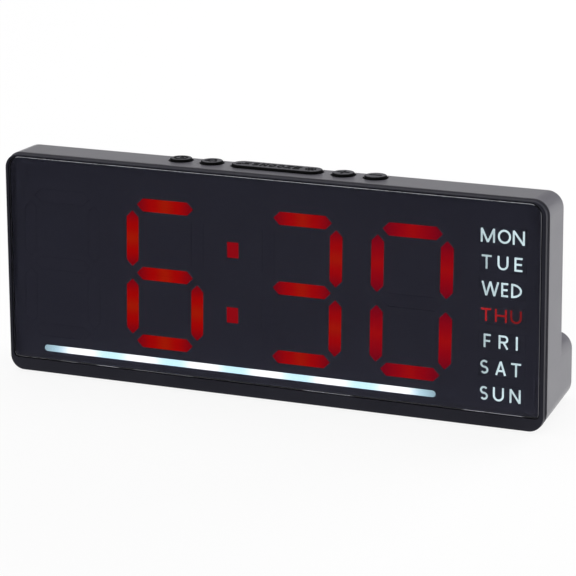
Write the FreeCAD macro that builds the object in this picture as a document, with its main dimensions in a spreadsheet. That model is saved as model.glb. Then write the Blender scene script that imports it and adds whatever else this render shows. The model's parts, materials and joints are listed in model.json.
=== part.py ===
import FreeCAD, Part
import math
import os
import re
import Sketcher

# Leaning LED day clock: a smoked window in a narrow frame, a rear housing with a
# foot-like bulge, five top keys and a battery door.
# Bodies are drawn along the face: X is width, Y is depth from the window towards the
# rear, Z is height up the face. The placement then leans them back onto the base.

doc = FreeCAD.newDocument("DayClock")

driving_sizes = {
    # outer form
    "width": 260.0,
    "height": 101.7,
    "lean_angle": 10.2,
    "body_depth": 22.5,
    "bulge_depth": 37.0,
    "bulge_top": 36.0,
    "wall": 2.0,
    "corner_radius": 7.25,
    "rear_edge_radius": 2.0,
    "front_edge_radius": 0.3,
    "foot_proud": 1.0,
    "foot_diameter": 9.0,
    "foot_inset": 22.0,
    "front_foot_depth": 9.0,
    "rear_foot_depth": 30.0,
    # front frame
    "frame_depth": 3.0,
    "frame_inset": 0.6,
    "frame_edge_radius": 0.5,
    "parting_gap": 0.4,
    "skirt_length": 5.0,
    "skirt_thickness": 1.2,
    "fit_clearance": 0.2,
    "ledge_width": 3.0,
    "bottom_ledge_width": 2.2,
    # lens
    "lens_side_border": 2.65,
    "lens_top_border": 1.7,
    "lens_bottom": 6.24,
    "lens_gap": 0.5,
    "lens_thickness": 2.0,
    "lens_setback": 0.15,
    "lens_top_radius": 5.2,
    "lens_bottom_radius": 1.9,
    "lens_bevel": 0.3,
    "tape_thickness": 0.3,
    # light mask and digits
    "mask_gap": 0.1,
    "mask_thickness": 9.2,
    "diffuser_thickness": 1.6,
    "diffuser_clearance": 0.08,
    "seat_step": 0.7,
    "well_draft": 3.0,
    "digit_rise": 0.55,
    "digit_spacing": 51.6,
    "colon_to_digit": 33.4,
    "colon_offset": -16.9,
    "column_reach": 16.07,
    "row_reach": 31.45,
    "segment_width": 6.0,
    "row_segment_length": 27.8,
    "column_segment_length": 25.7,
    "digit_slant": 1.0,
    "dot_width": 5.7,
    "dot_height": 7.2,
    "dot_reach": 14.9,
    "day_column_inset": 20.1,
    "day_window_width": 21.4,
    "day_window_height": 8.2,
    "day_pitch": 11.6,
    "first_day_drop": 17.5,
    "bar_length": 192.0,
    "bar_height": 3.1,
    "bar_level": 11.3,
    "bar_offset": -16.3,
    "bar_led_pitch": 31.0,
    # boards and light emitters
    "board_thickness": 1.6,
    "board_margin": 1.0,
    "led_length": 3.5,
    "led_width": 2.6,
    "led_height": 1.9,
    # screw posts
    "side_post_inset": 10.5,
    "upper_post_drop": 8.7,
    "lower_post_height": 12.0,
    "lower_right_post": 89.5,
    "boss_diameter": 6.0,
    "boss_length": 3.0,
    "post_diameter": 7.0,
    "post_gap": 0.1,
    "screw_diameter": 2.6,
    "screw_clearance": 0.15,
    "screw_head_diameter": 5.0,
    "screw_head_height": 1.6,
    "counterbore_diameter": 5.8,
    "counterbore_depth": 2.2,
    "screw_bite": 5.5,
    # keys
    "key_row_offset": -0.9,
    "key_row_depth": 14.8,
    "inner_key_reach": 31.7,
    "outer_key_step": 15.2,
    "round_key_diameter": 9.8,
    "snooze_length": 42.8,
    "snooze_width": 9.8,
    "key_gap": 0.8,
    "key_proud": 1.2,
    "key_travel": 0.4,
    "key_edge_radius": 0.4,
    "ear_reach": 1.6,
    "ear_width": 7.0,
    "ear_thickness": 0.8,
    "ear_gap": 0.1,
    "stem_diameter": 3.0,
    # key board and switches
    "switch_row_depth": 16.6,
    "switch_size": 6.0,
    "switch_height": 3.5,
    "plunger_diameter": 3.4,
    "plunger_length": 1.5,
    "plunger_clearance": 0.08,
    "key_board_drop": 13.3,
    "key_board_width": 6.6,
    "key_board_overhang": 8.0,
    "shelf_width": 6.0,
    "shelf_height": 4.0,
    # speaker
    "speaker_inset": 68.0,
    "speaker_drop": 39.7,
    "speaker_diameter": 28.0,
    "speaker_thickness": 3.0,
    "magnet_diameter": 16.0,
    "magnet_thickness": 2.2,
    "slot_width": 1.6,
    "slot_pitch": 3.4,
    # batteries
    "battery_offset": -52.0,
    "battery_level": 21.2,
    "cell_diameter": 10.5,
    "cell_length": 43.7,
    "cell_nub_diameter": 3.8,
    "cell_nub_length": 0.8,
    "cell_gap": 0.4,
    "contact_thickness": 0.5,
    "spring_length": 3.0,
    "spring_diameter": 6.0,
    "tray_wall": 1.2,
    "door_seat": 1.2,
    "finger_notch_diameter": 8,
    "door_thickness": 1.2,
    "door_gap": 0.25,
    "door_lip": 1.0,
    "grip_depth": 0.5,
    # control board
    "control_offset": 46.0,
    "control_length": 72.0,
    "control_front": 15.0,
    "control_rear": 33.0,
    "control_level": 13.0,
    "control_post_diameter": 5.0,
    "control_post_inset": 4.0,
    "socket_offset": 60.0,
    "socket_width": 8.94,
    "socket_height": 3.26,
    "socket_length": 7.3,
    "socket_wall": 0.3,
    "socket_tongue_width": 6.7,
    "socket_tongue_height": 0.7,
    "plug_width": 12.6,
    "plug_height": 7.2,
    "cable_thickness": 0.6,
    "cable_width": 12.0,
    "cable_setback": 6.0,
    "cable_margin": 2.0,
    "display_ribbon_rise": 16.0,
    "key_ribbon_drop": 10.0,
    "key_ribbon_offset": 11.1,
    "socket_back": 1.0,
    "processor_offset": -9.0,
    "processor_width": 10.0,
    "clock_chip_offset": 4.5,
    "driver_chip_offset": 28.0,
    "small_chip_width": 5.0,
    "small_chip_length": 6.0,
}

sheet = doc.addObject("Spreadsheet::Sheet", "Sizes")
for row, (alias, number) in enumerate(driving_sizes.items(), start=1):
    sheet.set(f"A{row}", alias)
    sheet.set(f"B{row}", str(number))
    sheet.setAlias(f"B{row}", alias)
doc.recompute()

alias_pattern = re.compile(r"\b(" + "|".join(driving_sizes) + r")\b")


def tie(formula):
    """Turn a formula in plain size names into an expression on the sheet."""
    return alias_pattern.sub(r"Sizes.\1", str(formula))


def value(formula):
    """Read the present value of a formula."""
    return float(sheet.evalExpression(tie(formula)))


# Places along the depth, from the window to the rear.
lens_back = "(lens_setback + lens_thickness)"
ledge_front = f"({lens_back} + tape_thickness)"
mask_front = f"({lens_back} + mask_gap)"
ledge_back = "(frame_depth + ledge_width / 2)"
mask_back = f"({mask_front} + mask_thickness)"
diffuser_back = f"({mask_front} + diffuser_thickness)"
board_back = f"({mask_back} + board_thickness)"
shell_front = "(frame_depth + parting_gap)"
post_front = f"({mask_back} + boss_length + post_gap)"
rear_inside = "(body_depth - wall)"
bulge_inside = "(bulge_depth - wall)"

# Outlines across the face.
half_width = "(width / 2)"
frame_half = "(width / 2 - frame_inset)"
frame_top = "(height - frame_inset)"
lens_half = "(width / 2 - lens_side_border)"
lens_top = "(height - lens_top_border)"
digit_centre = "(height / 2 + digit_rise)"
day_column = "(width / 2 - day_column_inset)"
first_day_height = "(height - first_day_drop)"
upper_post_height = "(height - upper_post_drop)"
key_board_level = "(height - key_board_drop)"
speaker_offset = "(width / 2 - speaker_inset)"
speaker_height = "(height - speaker_drop)"
opening_half = f"({lens_half} - ledge_width)"
opening_top = f"({lens_top} - ledge_width)"
opening_bottom = "(lens_bottom + bottom_ledge_width)"
skirt_half = "(width / 2 - wall - fit_clearance)"
skirt_top = "(height - wall - fit_clearance)"
flange_half = f"({skirt_half} - skirt_thickness - fit_clearance)"
flange_top = f"({skirt_top} - skirt_thickness - fit_clearance)"
skirt_back = f"({shell_front} + skirt_length)"
skirt_bottom = f"({skirt_back} * tan(lean_angle) + (wall + fit_clearance) / cos(lean_angle))"
flange_bottom = f"({skirt_bottom} + skirt_thickness + fit_clearance)"
flange_radius = "(corner_radius - wall - skirt_thickness)"

# The lean: the base plane becomes level and the clock's box is centred on the origin.
front_reach = "(frame_edge_radius * (cos(lean_angle) + sin(lean_angle) - 1))"
rear_reach = (
    "((bulge_depth - rear_edge_radius) * cos(lean_angle)"
    " + (bulge_top - rear_edge_radius) * sin(lean_angle) + rear_edge_radius)"
)
centre_shift = f"(-({front_reach} + {rear_reach}) / 2)"


def base_height(depth):
    """Height of the sloping base at a depth behind the front plane."""
    return f"(({depth}) * tan(lean_angle))"


def new_body(label, leaning=True):
    """Start a sub-part; leaning ones share the clock's backward lean."""
    body = doc.addObject("PartDesign::Body", label)
    body.Label = label
    angle = "-lean_angle" if leaning else "0"
    body.setExpression(
        "Placement",
        tie(
            f"create(<<placement>>; create(<<vector>>; 0; {centre_shift}; foot_proud); "
            f"create(<<rotation>>; create(<<vector>>; 1; 0; 0); {angle}))"
        ),
    )
    return body


class Drawing:
    """Lines, arcs and constraints gathered first, so that a sketch is solved once."""

    def __init__(self):
        self.geometry = []
        self.constraints = []
        self.formulas = {}

    def add(self, item):
        """Add a line, arc or circle and return its number."""
        self.geometry.append(item)
        return len(self.geometry) - 1

    def join(self, kind, *places):
        """Add a constraint that has no size of its own."""
        self.constraints.append(Sketcher.Constraint(kind, *places))

    def measure(self, kind, places, formula):
        """Add a constraint whose size follows a formula."""
        self.formulas[len(self.constraints)] = formula
        self.constraints.append(Sketcher.Constraint(kind, *places, value(formula)))

    def place(self, item, end, x, y):
        """Fix a point of an item at two formulas."""
        self.measure("DistanceX", (-1, 1, item, end), x)
        self.measure("DistanceY", (-1, 1, item, end), y)

    def put_into(self, sketch):
        """Hand everything to the sketch and tie the sizes to the sheet."""
        sketch.addGeometry(self.geometry, False)
        sketch.addConstraint(self.constraints)
        for index, formula in self.formulas.items():
            sketch.setExpression(f"Constraints[{index}]", tie(formula))


def polygon(drawing, corners):
    """Draw a closed outline of straight lines."""
    count = len(corners)
    points = [FreeCAD.Vector(value(x), value(y), 0) for x, y in corners]
    lines = [drawing.add(Part.LineSegment(points[i], points[(i + 1) % count])) for i in range(count)]
    for i, (x, y) in enumerate(corners):
        drawing.join("Coincident", lines[i], 2, lines[(i + 1) % count], 1)
        drawing.place(lines[i], 1, x, y)


def circle(drawing, x, y, radius):
    """Draw a circle."""
    centre = FreeCAD.Vector(value(x), value(y), 0)
    item = drawing.add(Part.Circle(centre, FreeCAD.Vector(0, 0, 1), value(radius)))
    drawing.place(item, 3, x, y)
    drawing.measure("Radius", (item,), radius)


def round_ended(drawing, left, right, level, radius):
    """Draw a level slot; left and right are the centres of its ends."""
    x0, x1, y, r = value(left), value(right), value(level), value(radius)
    up = FreeCAD.Vector(0, 0, 1)
    quarter = math.pi / 2
    ends = [
        drawing.add(Part.ArcOfCircle(Part.Circle(FreeCAD.Vector(x0, y, 0), up, r), quarter, 3 * quarter)),
        drawing.add(Part.ArcOfCircle(Part.Circle(FreeCAD.Vector(x1, y, 0), up, r), -quarter, quarter)),
    ]
    low = drawing.add(Part.LineSegment(FreeCAD.Vector(x0, y - r, 0), FreeCAD.Vector(x1, y - r, 0)))
    high = drawing.add(Part.LineSegment(FreeCAD.Vector(x1, y + r, 0), FreeCAD.Vector(x0, y + r, 0)))
    drawing.join("Tangent", ends[0], 2, low, 1)
    drawing.join("Tangent", low, 2, ends[1], 1)
    drawing.join("Tangent", ends[1], 2, high, 1)
    drawing.join("Tangent", high, 2, ends[0], 1)
    drawing.join("Equal", ends[0], ends[1])
    drawing.place(ends[0], 3, left, level)
    drawing.measure("DistanceX", (-1, 1, ends[1], 3), right)
    drawing.measure("Radius", (ends[0],), radius)


def rounded_box(drawing, left, right, bottom, top, lower_radius, upper_radius):
    """Draw a rectangle with one radius for its lower corners and one for its upper ones."""
    up = FreeCAD.Vector(0, 0, 1)
    # Corners in turn from lower left; each has the way towards the middle and its radius.
    corners = [
        (left, bottom, 1, 1, lower_radius),
        (right, bottom, -1, 1, lower_radius),
        (right, top, -1, -1, upper_radius),
        (left, top, 1, -1, upper_radius),
    ]
    arcs = []
    for turn, (x, y, across, rise, radius) in enumerate(corners):
        centre_x = f"({x}) + {across} * ({radius})"
        centre_y = f"({y}) + {rise} * ({radius})"
        centre = FreeCAD.Vector(value(centre_x), value(centre_y), 0)
        start = math.pi + turn * math.pi / 2
        arcs.append(
            drawing.add(Part.ArcOfCircle(Part.Circle(centre, up, value(radius)), start, start + math.pi / 2))
        )
        drawing.place(arcs[-1], 3, centre_x, centre_y)
        drawing.measure("Radius", (arcs[-1],), radius)
    for turn, arc in enumerate(arcs):
        following = arcs[(turn + 1) % 4]
        start = drawing.geometry[arc].EndPoint
        end = drawing.geometry[following].StartPoint
        line = drawing.add(Part.LineSegment(start, end))
        drawing.join("Tangent", arc, 2, line, 1)
        drawing.join("Tangent", line, 2, following, 1)


def rounded_loop(left, right, bottom, top, lower_radius, upper_radius):
    """A rectangle with rounded corners as an outline."""
    return (rounded_box, left, right, bottom, top, lower_radius, upper_radius)


def box_loop(left, right, bottom, top):
    """A rectangle as an outline."""
    return (polygon, [(left, bottom), (right, bottom), (right, top), (left, top)])


def circle_loop(x, y, diameter):
    """A circle as an outline."""
    return (circle, x, y, f"({diameter}) / 2")


def slot_loop(x, y, length, breadth):
    """A round-ended slot as an outline."""
    reach = f"(({length}) - ({breadth})) / 2"
    return (round_ended, f"({x}) - {reach}", f"({x}) + {reach}", y, f"({breadth}) / 2")


def new_sketch(body, name, plane, offset, loops):
    """Make a sketch on a plane of its body, moved along the plane's own axis."""
    sketch = body.newObject("Sketcher::SketchObject", f"{body.Label}_{name}_sketch")
    plane_object = [o for o in body.Origin.OriginFeatures if o.Role == plane + "_Plane"][0]
    sketch.AttachmentSupport = [(plane_object, "")]
    sketch.MapMode = "FlatFace"
    # The XZ plane's normal points to the front, against the depth.
    sign = "-" if plane == "XZ" else ""
    sketch.setExpression("AttachmentOffset.Base.z", tie(f"{sign}({offset})"))
    drawing = Drawing()
    for draw, *sizes in loops:
        draw(drawing, *sizes)
    drawing.put_into(sketch)
    return sketch


def pad(body, name, plane, start, end, loops):
    """Add material between two places along the plane's axis."""
    offset = end if plane == "XZ" else start
    sketch = new_sketch(body, name, plane, offset, loops)
    feature = body.newObject("PartDesign::Pad", f"{body.Label}_{name}")
    feature.Profile = sketch
    feature.Refine = False
    feature.setExpression("Length", tie(f"({end}) - ({start})"))
    doc.recompute()
    return feature


def pocket(body, name, plane, start, end, loops, draft=None):
    """Remove material between two places and make sure that something was cut."""
    before = body.Shape.Volume
    offset = start if plane == "XZ" else end
    sketch = new_sketch(body, name, plane, offset, loops)
    feature = body.newObject("PartDesign::Pocket", f"{body.Label}_{name}")
    feature.Profile = sketch
    feature.Refine = False
    feature.setExpression("Length", tie(f"({end}) - ({start})"))
    if draft:
        feature.setExpression("TaperAngle", tie(f"-({draft})"))
    doc.recompute()
    if not body.Shape.Volume < before:
        raise RuntimeError(f"{feature.Name} cut nothing")
    return feature


def round_edges(body, name, radius, wanted, kind="PartDesign::Fillet"):
    """Round the edges of the last feature whose middle point is wanted."""
    base = body.Tip
    names = []
    for index, edge in enumerate(base.Shape.Edges, start=1):
        middle = edge.valueAt((edge.FirstParameter + edge.LastParameter) / 2)
        if wanted(edge, middle):
            names.append(f"Edge{index}")
    if not names:
        raise RuntimeError(f"{body.Label} {name} found no edge")
    feature = body.newObject(kind, f"{body.Label}_{name}")
    feature.Base = (base, names)
    feature.setExpression("Radius" if kind.endswith("Fillet") else "Size", tie(radius))
    doc.recompute()
    return feature


def near(a, b, slack=0.01):
    """True where two lengths agree."""
    return abs(a - b) < slack


def runs_along(edge, axis):
    """True for a straight edge whose direction has most of its length along an axis."""
    if not isinstance(edge.Curve, Part.Line):
        return False
    ends = [vertex.Point for vertex in edge.Vertexes]
    step = ends[-1] - ends[0]
    return abs(step[axis]) > 0.95 * step.Length


def plate(label, start, end, loops, plane="XZ"):
    """A sub-part that is one pad of one or more outlines."""
    body = new_body(label)
    pad(body, "plate", plane, start, end, loops)
    return body


# Digits and their segments.
digit_places = {
    "hour_tens": "(colon_offset - colon_to_digit - digit_spacing)",
    "hour_ones": "(colon_offset - colon_to_digit)",
    "minute_tens": "(colon_offset + colon_to_digit)",
    "minute_ones": "(colon_offset + colon_to_digit + digit_spacing)",
}
segment_places = [
    ("row", "0", "row_reach"),
    ("row", "0", "0"),
    ("row", "0", "-row_reach"),
    ("column", "-column_reach", "row_reach / 2"),
    ("column", "column_reach", "row_reach / 2"),
    ("column", "-column_reach", "-row_reach / 2"),
    ("column", "column_reach", "-row_reach / 2"),
]


def slanted(x, rise):
    """Sideways place of a point at a rise above the digits' middle line."""
    return f"({x}) + ({rise}) * tan(digit_slant)"


def segment_loop(digit, direction, across, rise, inset):
    """A segment with pointed ends, drawn smaller by the inset all round."""
    half = f"(segment_width / 2 - ({inset}))"
    if direction == "row":
        tip = f"(row_segment_length / 2 - ({inset}) * 1.414)"
        shoulder = f"({tip} - {half})"
        offsets = [
            (f"-{tip}", "0"), (f"-{shoulder}", f"-{half}"), (shoulder, f"-{half}"),
            (tip, "0"), (shoulder, half), (f"-{shoulder}", half),
        ]
    else:
        tip = f"(column_segment_length / 2 - ({inset}) * 1.414)"
        shoulder = f"({tip} - {half})"
        offsets = [
            ("0", f"-{tip}"), (half, f"-{shoulder}"), (half, shoulder),
            ("0", tip), (f"-{half}", shoulder), (f"-{half}", f"-{shoulder}"),
        ]
    corners = []
    for dx, dy in offsets:
        total_rise = f"(({rise}) + ({dy}))"
        x = slanted(f"{digit} + ({across}) + ({dx})", total_rise)
        corners.append((x, f"{digit_centre} + {total_rise}"))
    return (polygon, corners)


def digit_loops(digit, inset):
    """The seven segments of a digit."""
    return [segment_loop(digit_places[digit], *place, inset) for place in segment_places]


def dot_loops(inset):
    """The two dots between hours and minutes."""
    loops = []
    for rise in ("dot_reach", "-dot_reach"):
        x = slanted("colon_offset", rise)
        y = f"{digit_centre} + {rise}"
        half_x = f"(dot_width / 2 - ({inset}))"
        half_y = f"(dot_height / 2 - ({inset}))"
        loops.append(box_loop(f"{x} - {half_x}", f"{x} + {half_x}", f"{y} - {half_y}", f"{y} + {half_y}"))
    return loops


def day_loops(inset):
    """Seven windows, one for each day of the week."""
    loops = []
    half_x = f"(day_window_width / 2 - ({inset}))"
    half_y = f"(day_window_height / 2 - ({inset}))"
    for day in range(7):
        y = f"({first_day_height} - {day} * day_pitch)"
        loops.append(
            box_loop(
                f"{day_column} - {half_x}", f"{day_column} + {half_x}", f"{y} - {half_y}", f"{y} + {half_y}"
            )
        )
    return loops


def bar_loop(inset):
    """The long light bar under the digits."""
    length = f"bar_length - 2 * ({inset})"
    return [slot_loop("bar_offset", "bar_level", length, f"bar_height - 2 * ({inset})")]


# Screw posts join the rear housing to the light mask: two high, two low.
post_reach = "(width / 2 - side_post_inset)"
post_places = [
    (f"-{post_reach}", upper_post_height, "body_depth"),
    (post_reach, upper_post_height, "body_depth"),
    (f"-{post_reach}", "lower_post_height", "bulge_depth"),
    ("lower_right_post", "lower_post_height", "bulge_depth"),
]

# Keys on the top, from left to right, with the switch under each.
round_keys = {
    "mode_key": "(key_row_offset - inner_key_reach - outer_key_step)",
    "alarm_key": "(key_row_offset - inner_key_reach)",
    "plus_key": "(key_row_offset + inner_key_reach)",
    "minus_key": "(key_row_offset + inner_key_reach + outer_key_step)",
}
key_places = dict(round_keys, snooze_bar="key_row_offset")
ear_top = "(height - wall - ear_gap)"
ear_bottom = f"({ear_top} - ear_thickness)"
switch_bottom = f"({key_board_level} + board_thickness)"
switch_top = f"({switch_bottom} + switch_height)"
plunger_top = f"({switch_top} + plunger_length)"


def build_front_frame():
    """Narrow frame with a lens recess, a ledge and a skirt that enters the housing."""
    body = new_body("front_frame")
    outer_radius = "corner_radius - frame_inset"
    pad(
        body, "ring", "XZ", "0", "frame_depth",
        [rounded_loop(f"-{frame_half}", frame_half, "0", frame_top, outer_radius, outer_radius)],
    )
    front = lambda edge, middle: near(middle.y, 0)
    round_edges(body, "front_edge", "frame_edge_radius", front)
    skirt_radius = "corner_radius - wall - fit_clearance"
    inner_half = f"({skirt_half} - skirt_thickness)"
    skirt_outline = (f"-{skirt_half}", skirt_half, skirt_bottom, skirt_top)
    skirt_inside = (
        f"-{inner_half}", inner_half, f"{skirt_bottom} + skirt_thickness", f"{skirt_top} - skirt_thickness",
    )
    inner_radius = f"{skirt_radius} - skirt_thickness"
    pad(
        body, "skirt", "XZ", "frame_depth", skirt_back,
        [rounded_loop(*skirt_outline, skirt_radius, skirt_radius)],
    )
    pocket(
        body, "skirt_inside", "XZ", ledge_back, f"{skirt_back} + 1",
        [rounded_loop(*skirt_inside, inner_radius, inner_radius)],
    )
    pocket(body, "lens_recess", "XZ", "-1", ledge_front, [lens_loop("lens_gap")])
    pocket(
        body, "opening", "XZ", "0", f"{ledge_back} + 1",
        [box_loop(f"-{opening_half}", opening_half, opening_bottom, opening_top)],
    )


def lens_loop(margin):
    """The lens outline, made larger by a margin all round."""
    return rounded_loop(
        f"-{lens_half} - {margin}", f"{lens_half} + {margin}",
        f"lens_bottom - {margin}", f"{lens_top} + {margin}",
        f"lens_bottom_radius + {margin}", f"lens_top_radius + {margin}",
    )


def build_lens():
    """Smoked window with rounded corners and a polished bevel."""
    body = new_body("display_lens")
    pad(body, "plate", "XZ", "lens_setback", lens_back, [lens_loop("0")])
    front = lambda edge, middle: near(middle.y, value("lens_setback"))
    round_edges(body, "bevel", "lens_bevel", front, "PartDesign::Chamfer")


def build_lens_tape():
    """Adhesive frame between the lens and the ledge."""
    edge = "(lens_bevel + fit_clearance)"
    plate(
        "lens_tape", lens_back, ledge_front,
        [
            rounded_loop(
                f"-{lens_half} + {edge}", f"{lens_half} - {edge}",
                f"lens_bottom + {edge}", f"{lens_top} - {edge}",
                f"lens_bottom_radius - {edge}", f"lens_top_radius - {edge}",
            ),
            box_loop(f"-{opening_half}", opening_half, opening_bottom, opening_top),
        ],
    )


def build_light_mask():
    """Moulded mask: a seat for each diffuser and a tapering light well behind it."""
    body = new_body("light_mask")
    pad(
        body, "block", "XZ", ledge_back, mask_back,
        [
            rounded_loop(
                f"-{flange_half}", flange_half, flange_bottom, flange_top, flange_radius, flange_radius
            )
        ],
    )
    pad(
        body, "plateau", "XZ", mask_front, f"{ledge_back} + 1",
        [
            box_loop(
                f"-{opening_half} + fit_clearance", f"{opening_half} - fit_clearance",
                f"{opening_bottom} + fit_clearance", f"{opening_top} - fit_clearance",
            )
        ],
    )
    groups = {digit: (lambda inset, digit=digit: digit_loops(digit, inset)) for digit in digit_places}
    groups["dots"] = dot_loops
    groups["days"] = day_loops
    groups["bar"] = bar_loop
    for name, loops in groups.items():
        pocket(body, name + "_seats", "XZ", mask_front, diffuser_back, loops("0"))
        # The bar's channel is too slim for a draft.
        draft = None if name == "bar" else "well_draft"
        inset = "seat_step / 2" if name == "bar" else "seat_step"
        pocket(body, name + "_wells", "XZ", diffuser_back, f"{mask_back} + 0.01", loops(inset), draft)
    pad(
        body, "bosses", "XZ", f"{mask_back} - 0.5 * boss_length", f"{mask_back} + boss_length",
        [circle_loop(x, z, "boss_diameter") for x, z, depth in post_places],
    )
    pocket(
        body, "pilot_holes", "XZ", f"{mask_back} + boss_length - screw_bite - screw_clearance",
        f"{mask_back} + boss_length + 1",
        [circle_loop(x, z, "screw_diameter + 2 * screw_clearance") for x, z, depth in post_places],
    )


def build_diffusers():
    """Milky tiles that sit in the mask's seats."""
    for digit in digit_places:
        plate(digit + "_segments", mask_front, diffuser_back, digit_loops(digit, "diffuser_clearance"))
    plate("colon_dots", mask_front, diffuser_back, dot_loops("diffuser_clearance"))
    plate("weekday_windows", mask_front, diffuser_back, day_loops("diffuser_clearance"))
    plate("light_bar", mask_front, diffuser_back, bar_loop("diffuser_clearance"))


def build_display_board():
    """Circuit board behind the mask with its holes round the screw bosses."""
    body = new_body("display_board")
    pad(
        body, "board", "XZ", mask_back, board_back,
        [
            box_loop(
                f"-{flange_half} + board_margin", f"{flange_half} - board_margin",
                f"{flange_bottom} + board_margin", f"{flange_top} - board_margin",
            )
        ],
    )
    pocket(
        body, "boss_holes", "XZ", mask_back, f"{board_back} + 1",
        [circle_loop(x, z, "boss_diameter + 2 * fit_clearance") for x, z, depth in post_places],
    )


def led_loop(x, y, upright):
    """Outline of one light emitter."""
    reach_x = "led_width / 2" if upright else "led_length / 2"
    reach_y = "led_length / 2" if upright else "led_width / 2"
    return box_loop(f"{x} - {reach_x}", f"{x} + {reach_x}", f"{y} - {reach_y}", f"{y} + {reach_y}")


def build_leds():
    """Surface-mounted light emitters in the wells."""
    emitters = new_body("digit_leds")
    for name, digit in digit_places.items():
        chips = []
        for direction, across, rise in segment_places:
            x = slanted(f"{digit} + ({across})", rise)
            chips.append(led_loop(x, f"({digit_centre} + ({rise}))", direction == "column"))
        pad(emitters, name, "XZ", f"{mask_back} - led_height", mask_back, chips)
    dots = [
        led_loop(slanted("colon_offset", rise), f"({digit_centre} + {rise})", True)
        for rise in ("dot_reach", "-dot_reach")
    ]
    pad(emitters, "dots", "XZ", f"{mask_back} - led_height", mask_back, dots)
    days = []
    for day in range(7):
        y = f"({first_day_height} - {day} * day_pitch)"
        for side in ("-", "+"):
            days.append(led_loop(f"({day_column} {side} day_window_width / 4)", y, False))
    plate("weekday_leds", f"{mask_back} - led_height", mask_back, days)
    half_chip = "(bar_height / 2 - seat_step / 2 - diffuser_clearance)"
    bar = []
    for place in range(6):
        x = f"(bar_offset + {place - 2.5} * bar_led_pitch)"
        bar.append(
            box_loop(
                f"{x} - led_length / 2", f"{x} + led_length / 2",
                f"bar_level - {half_chip}", f"bar_level + {half_chip}",
            )
        )
    plate("light_bar_leds", f"{mask_back} - led_height", mask_back, bar)


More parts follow.
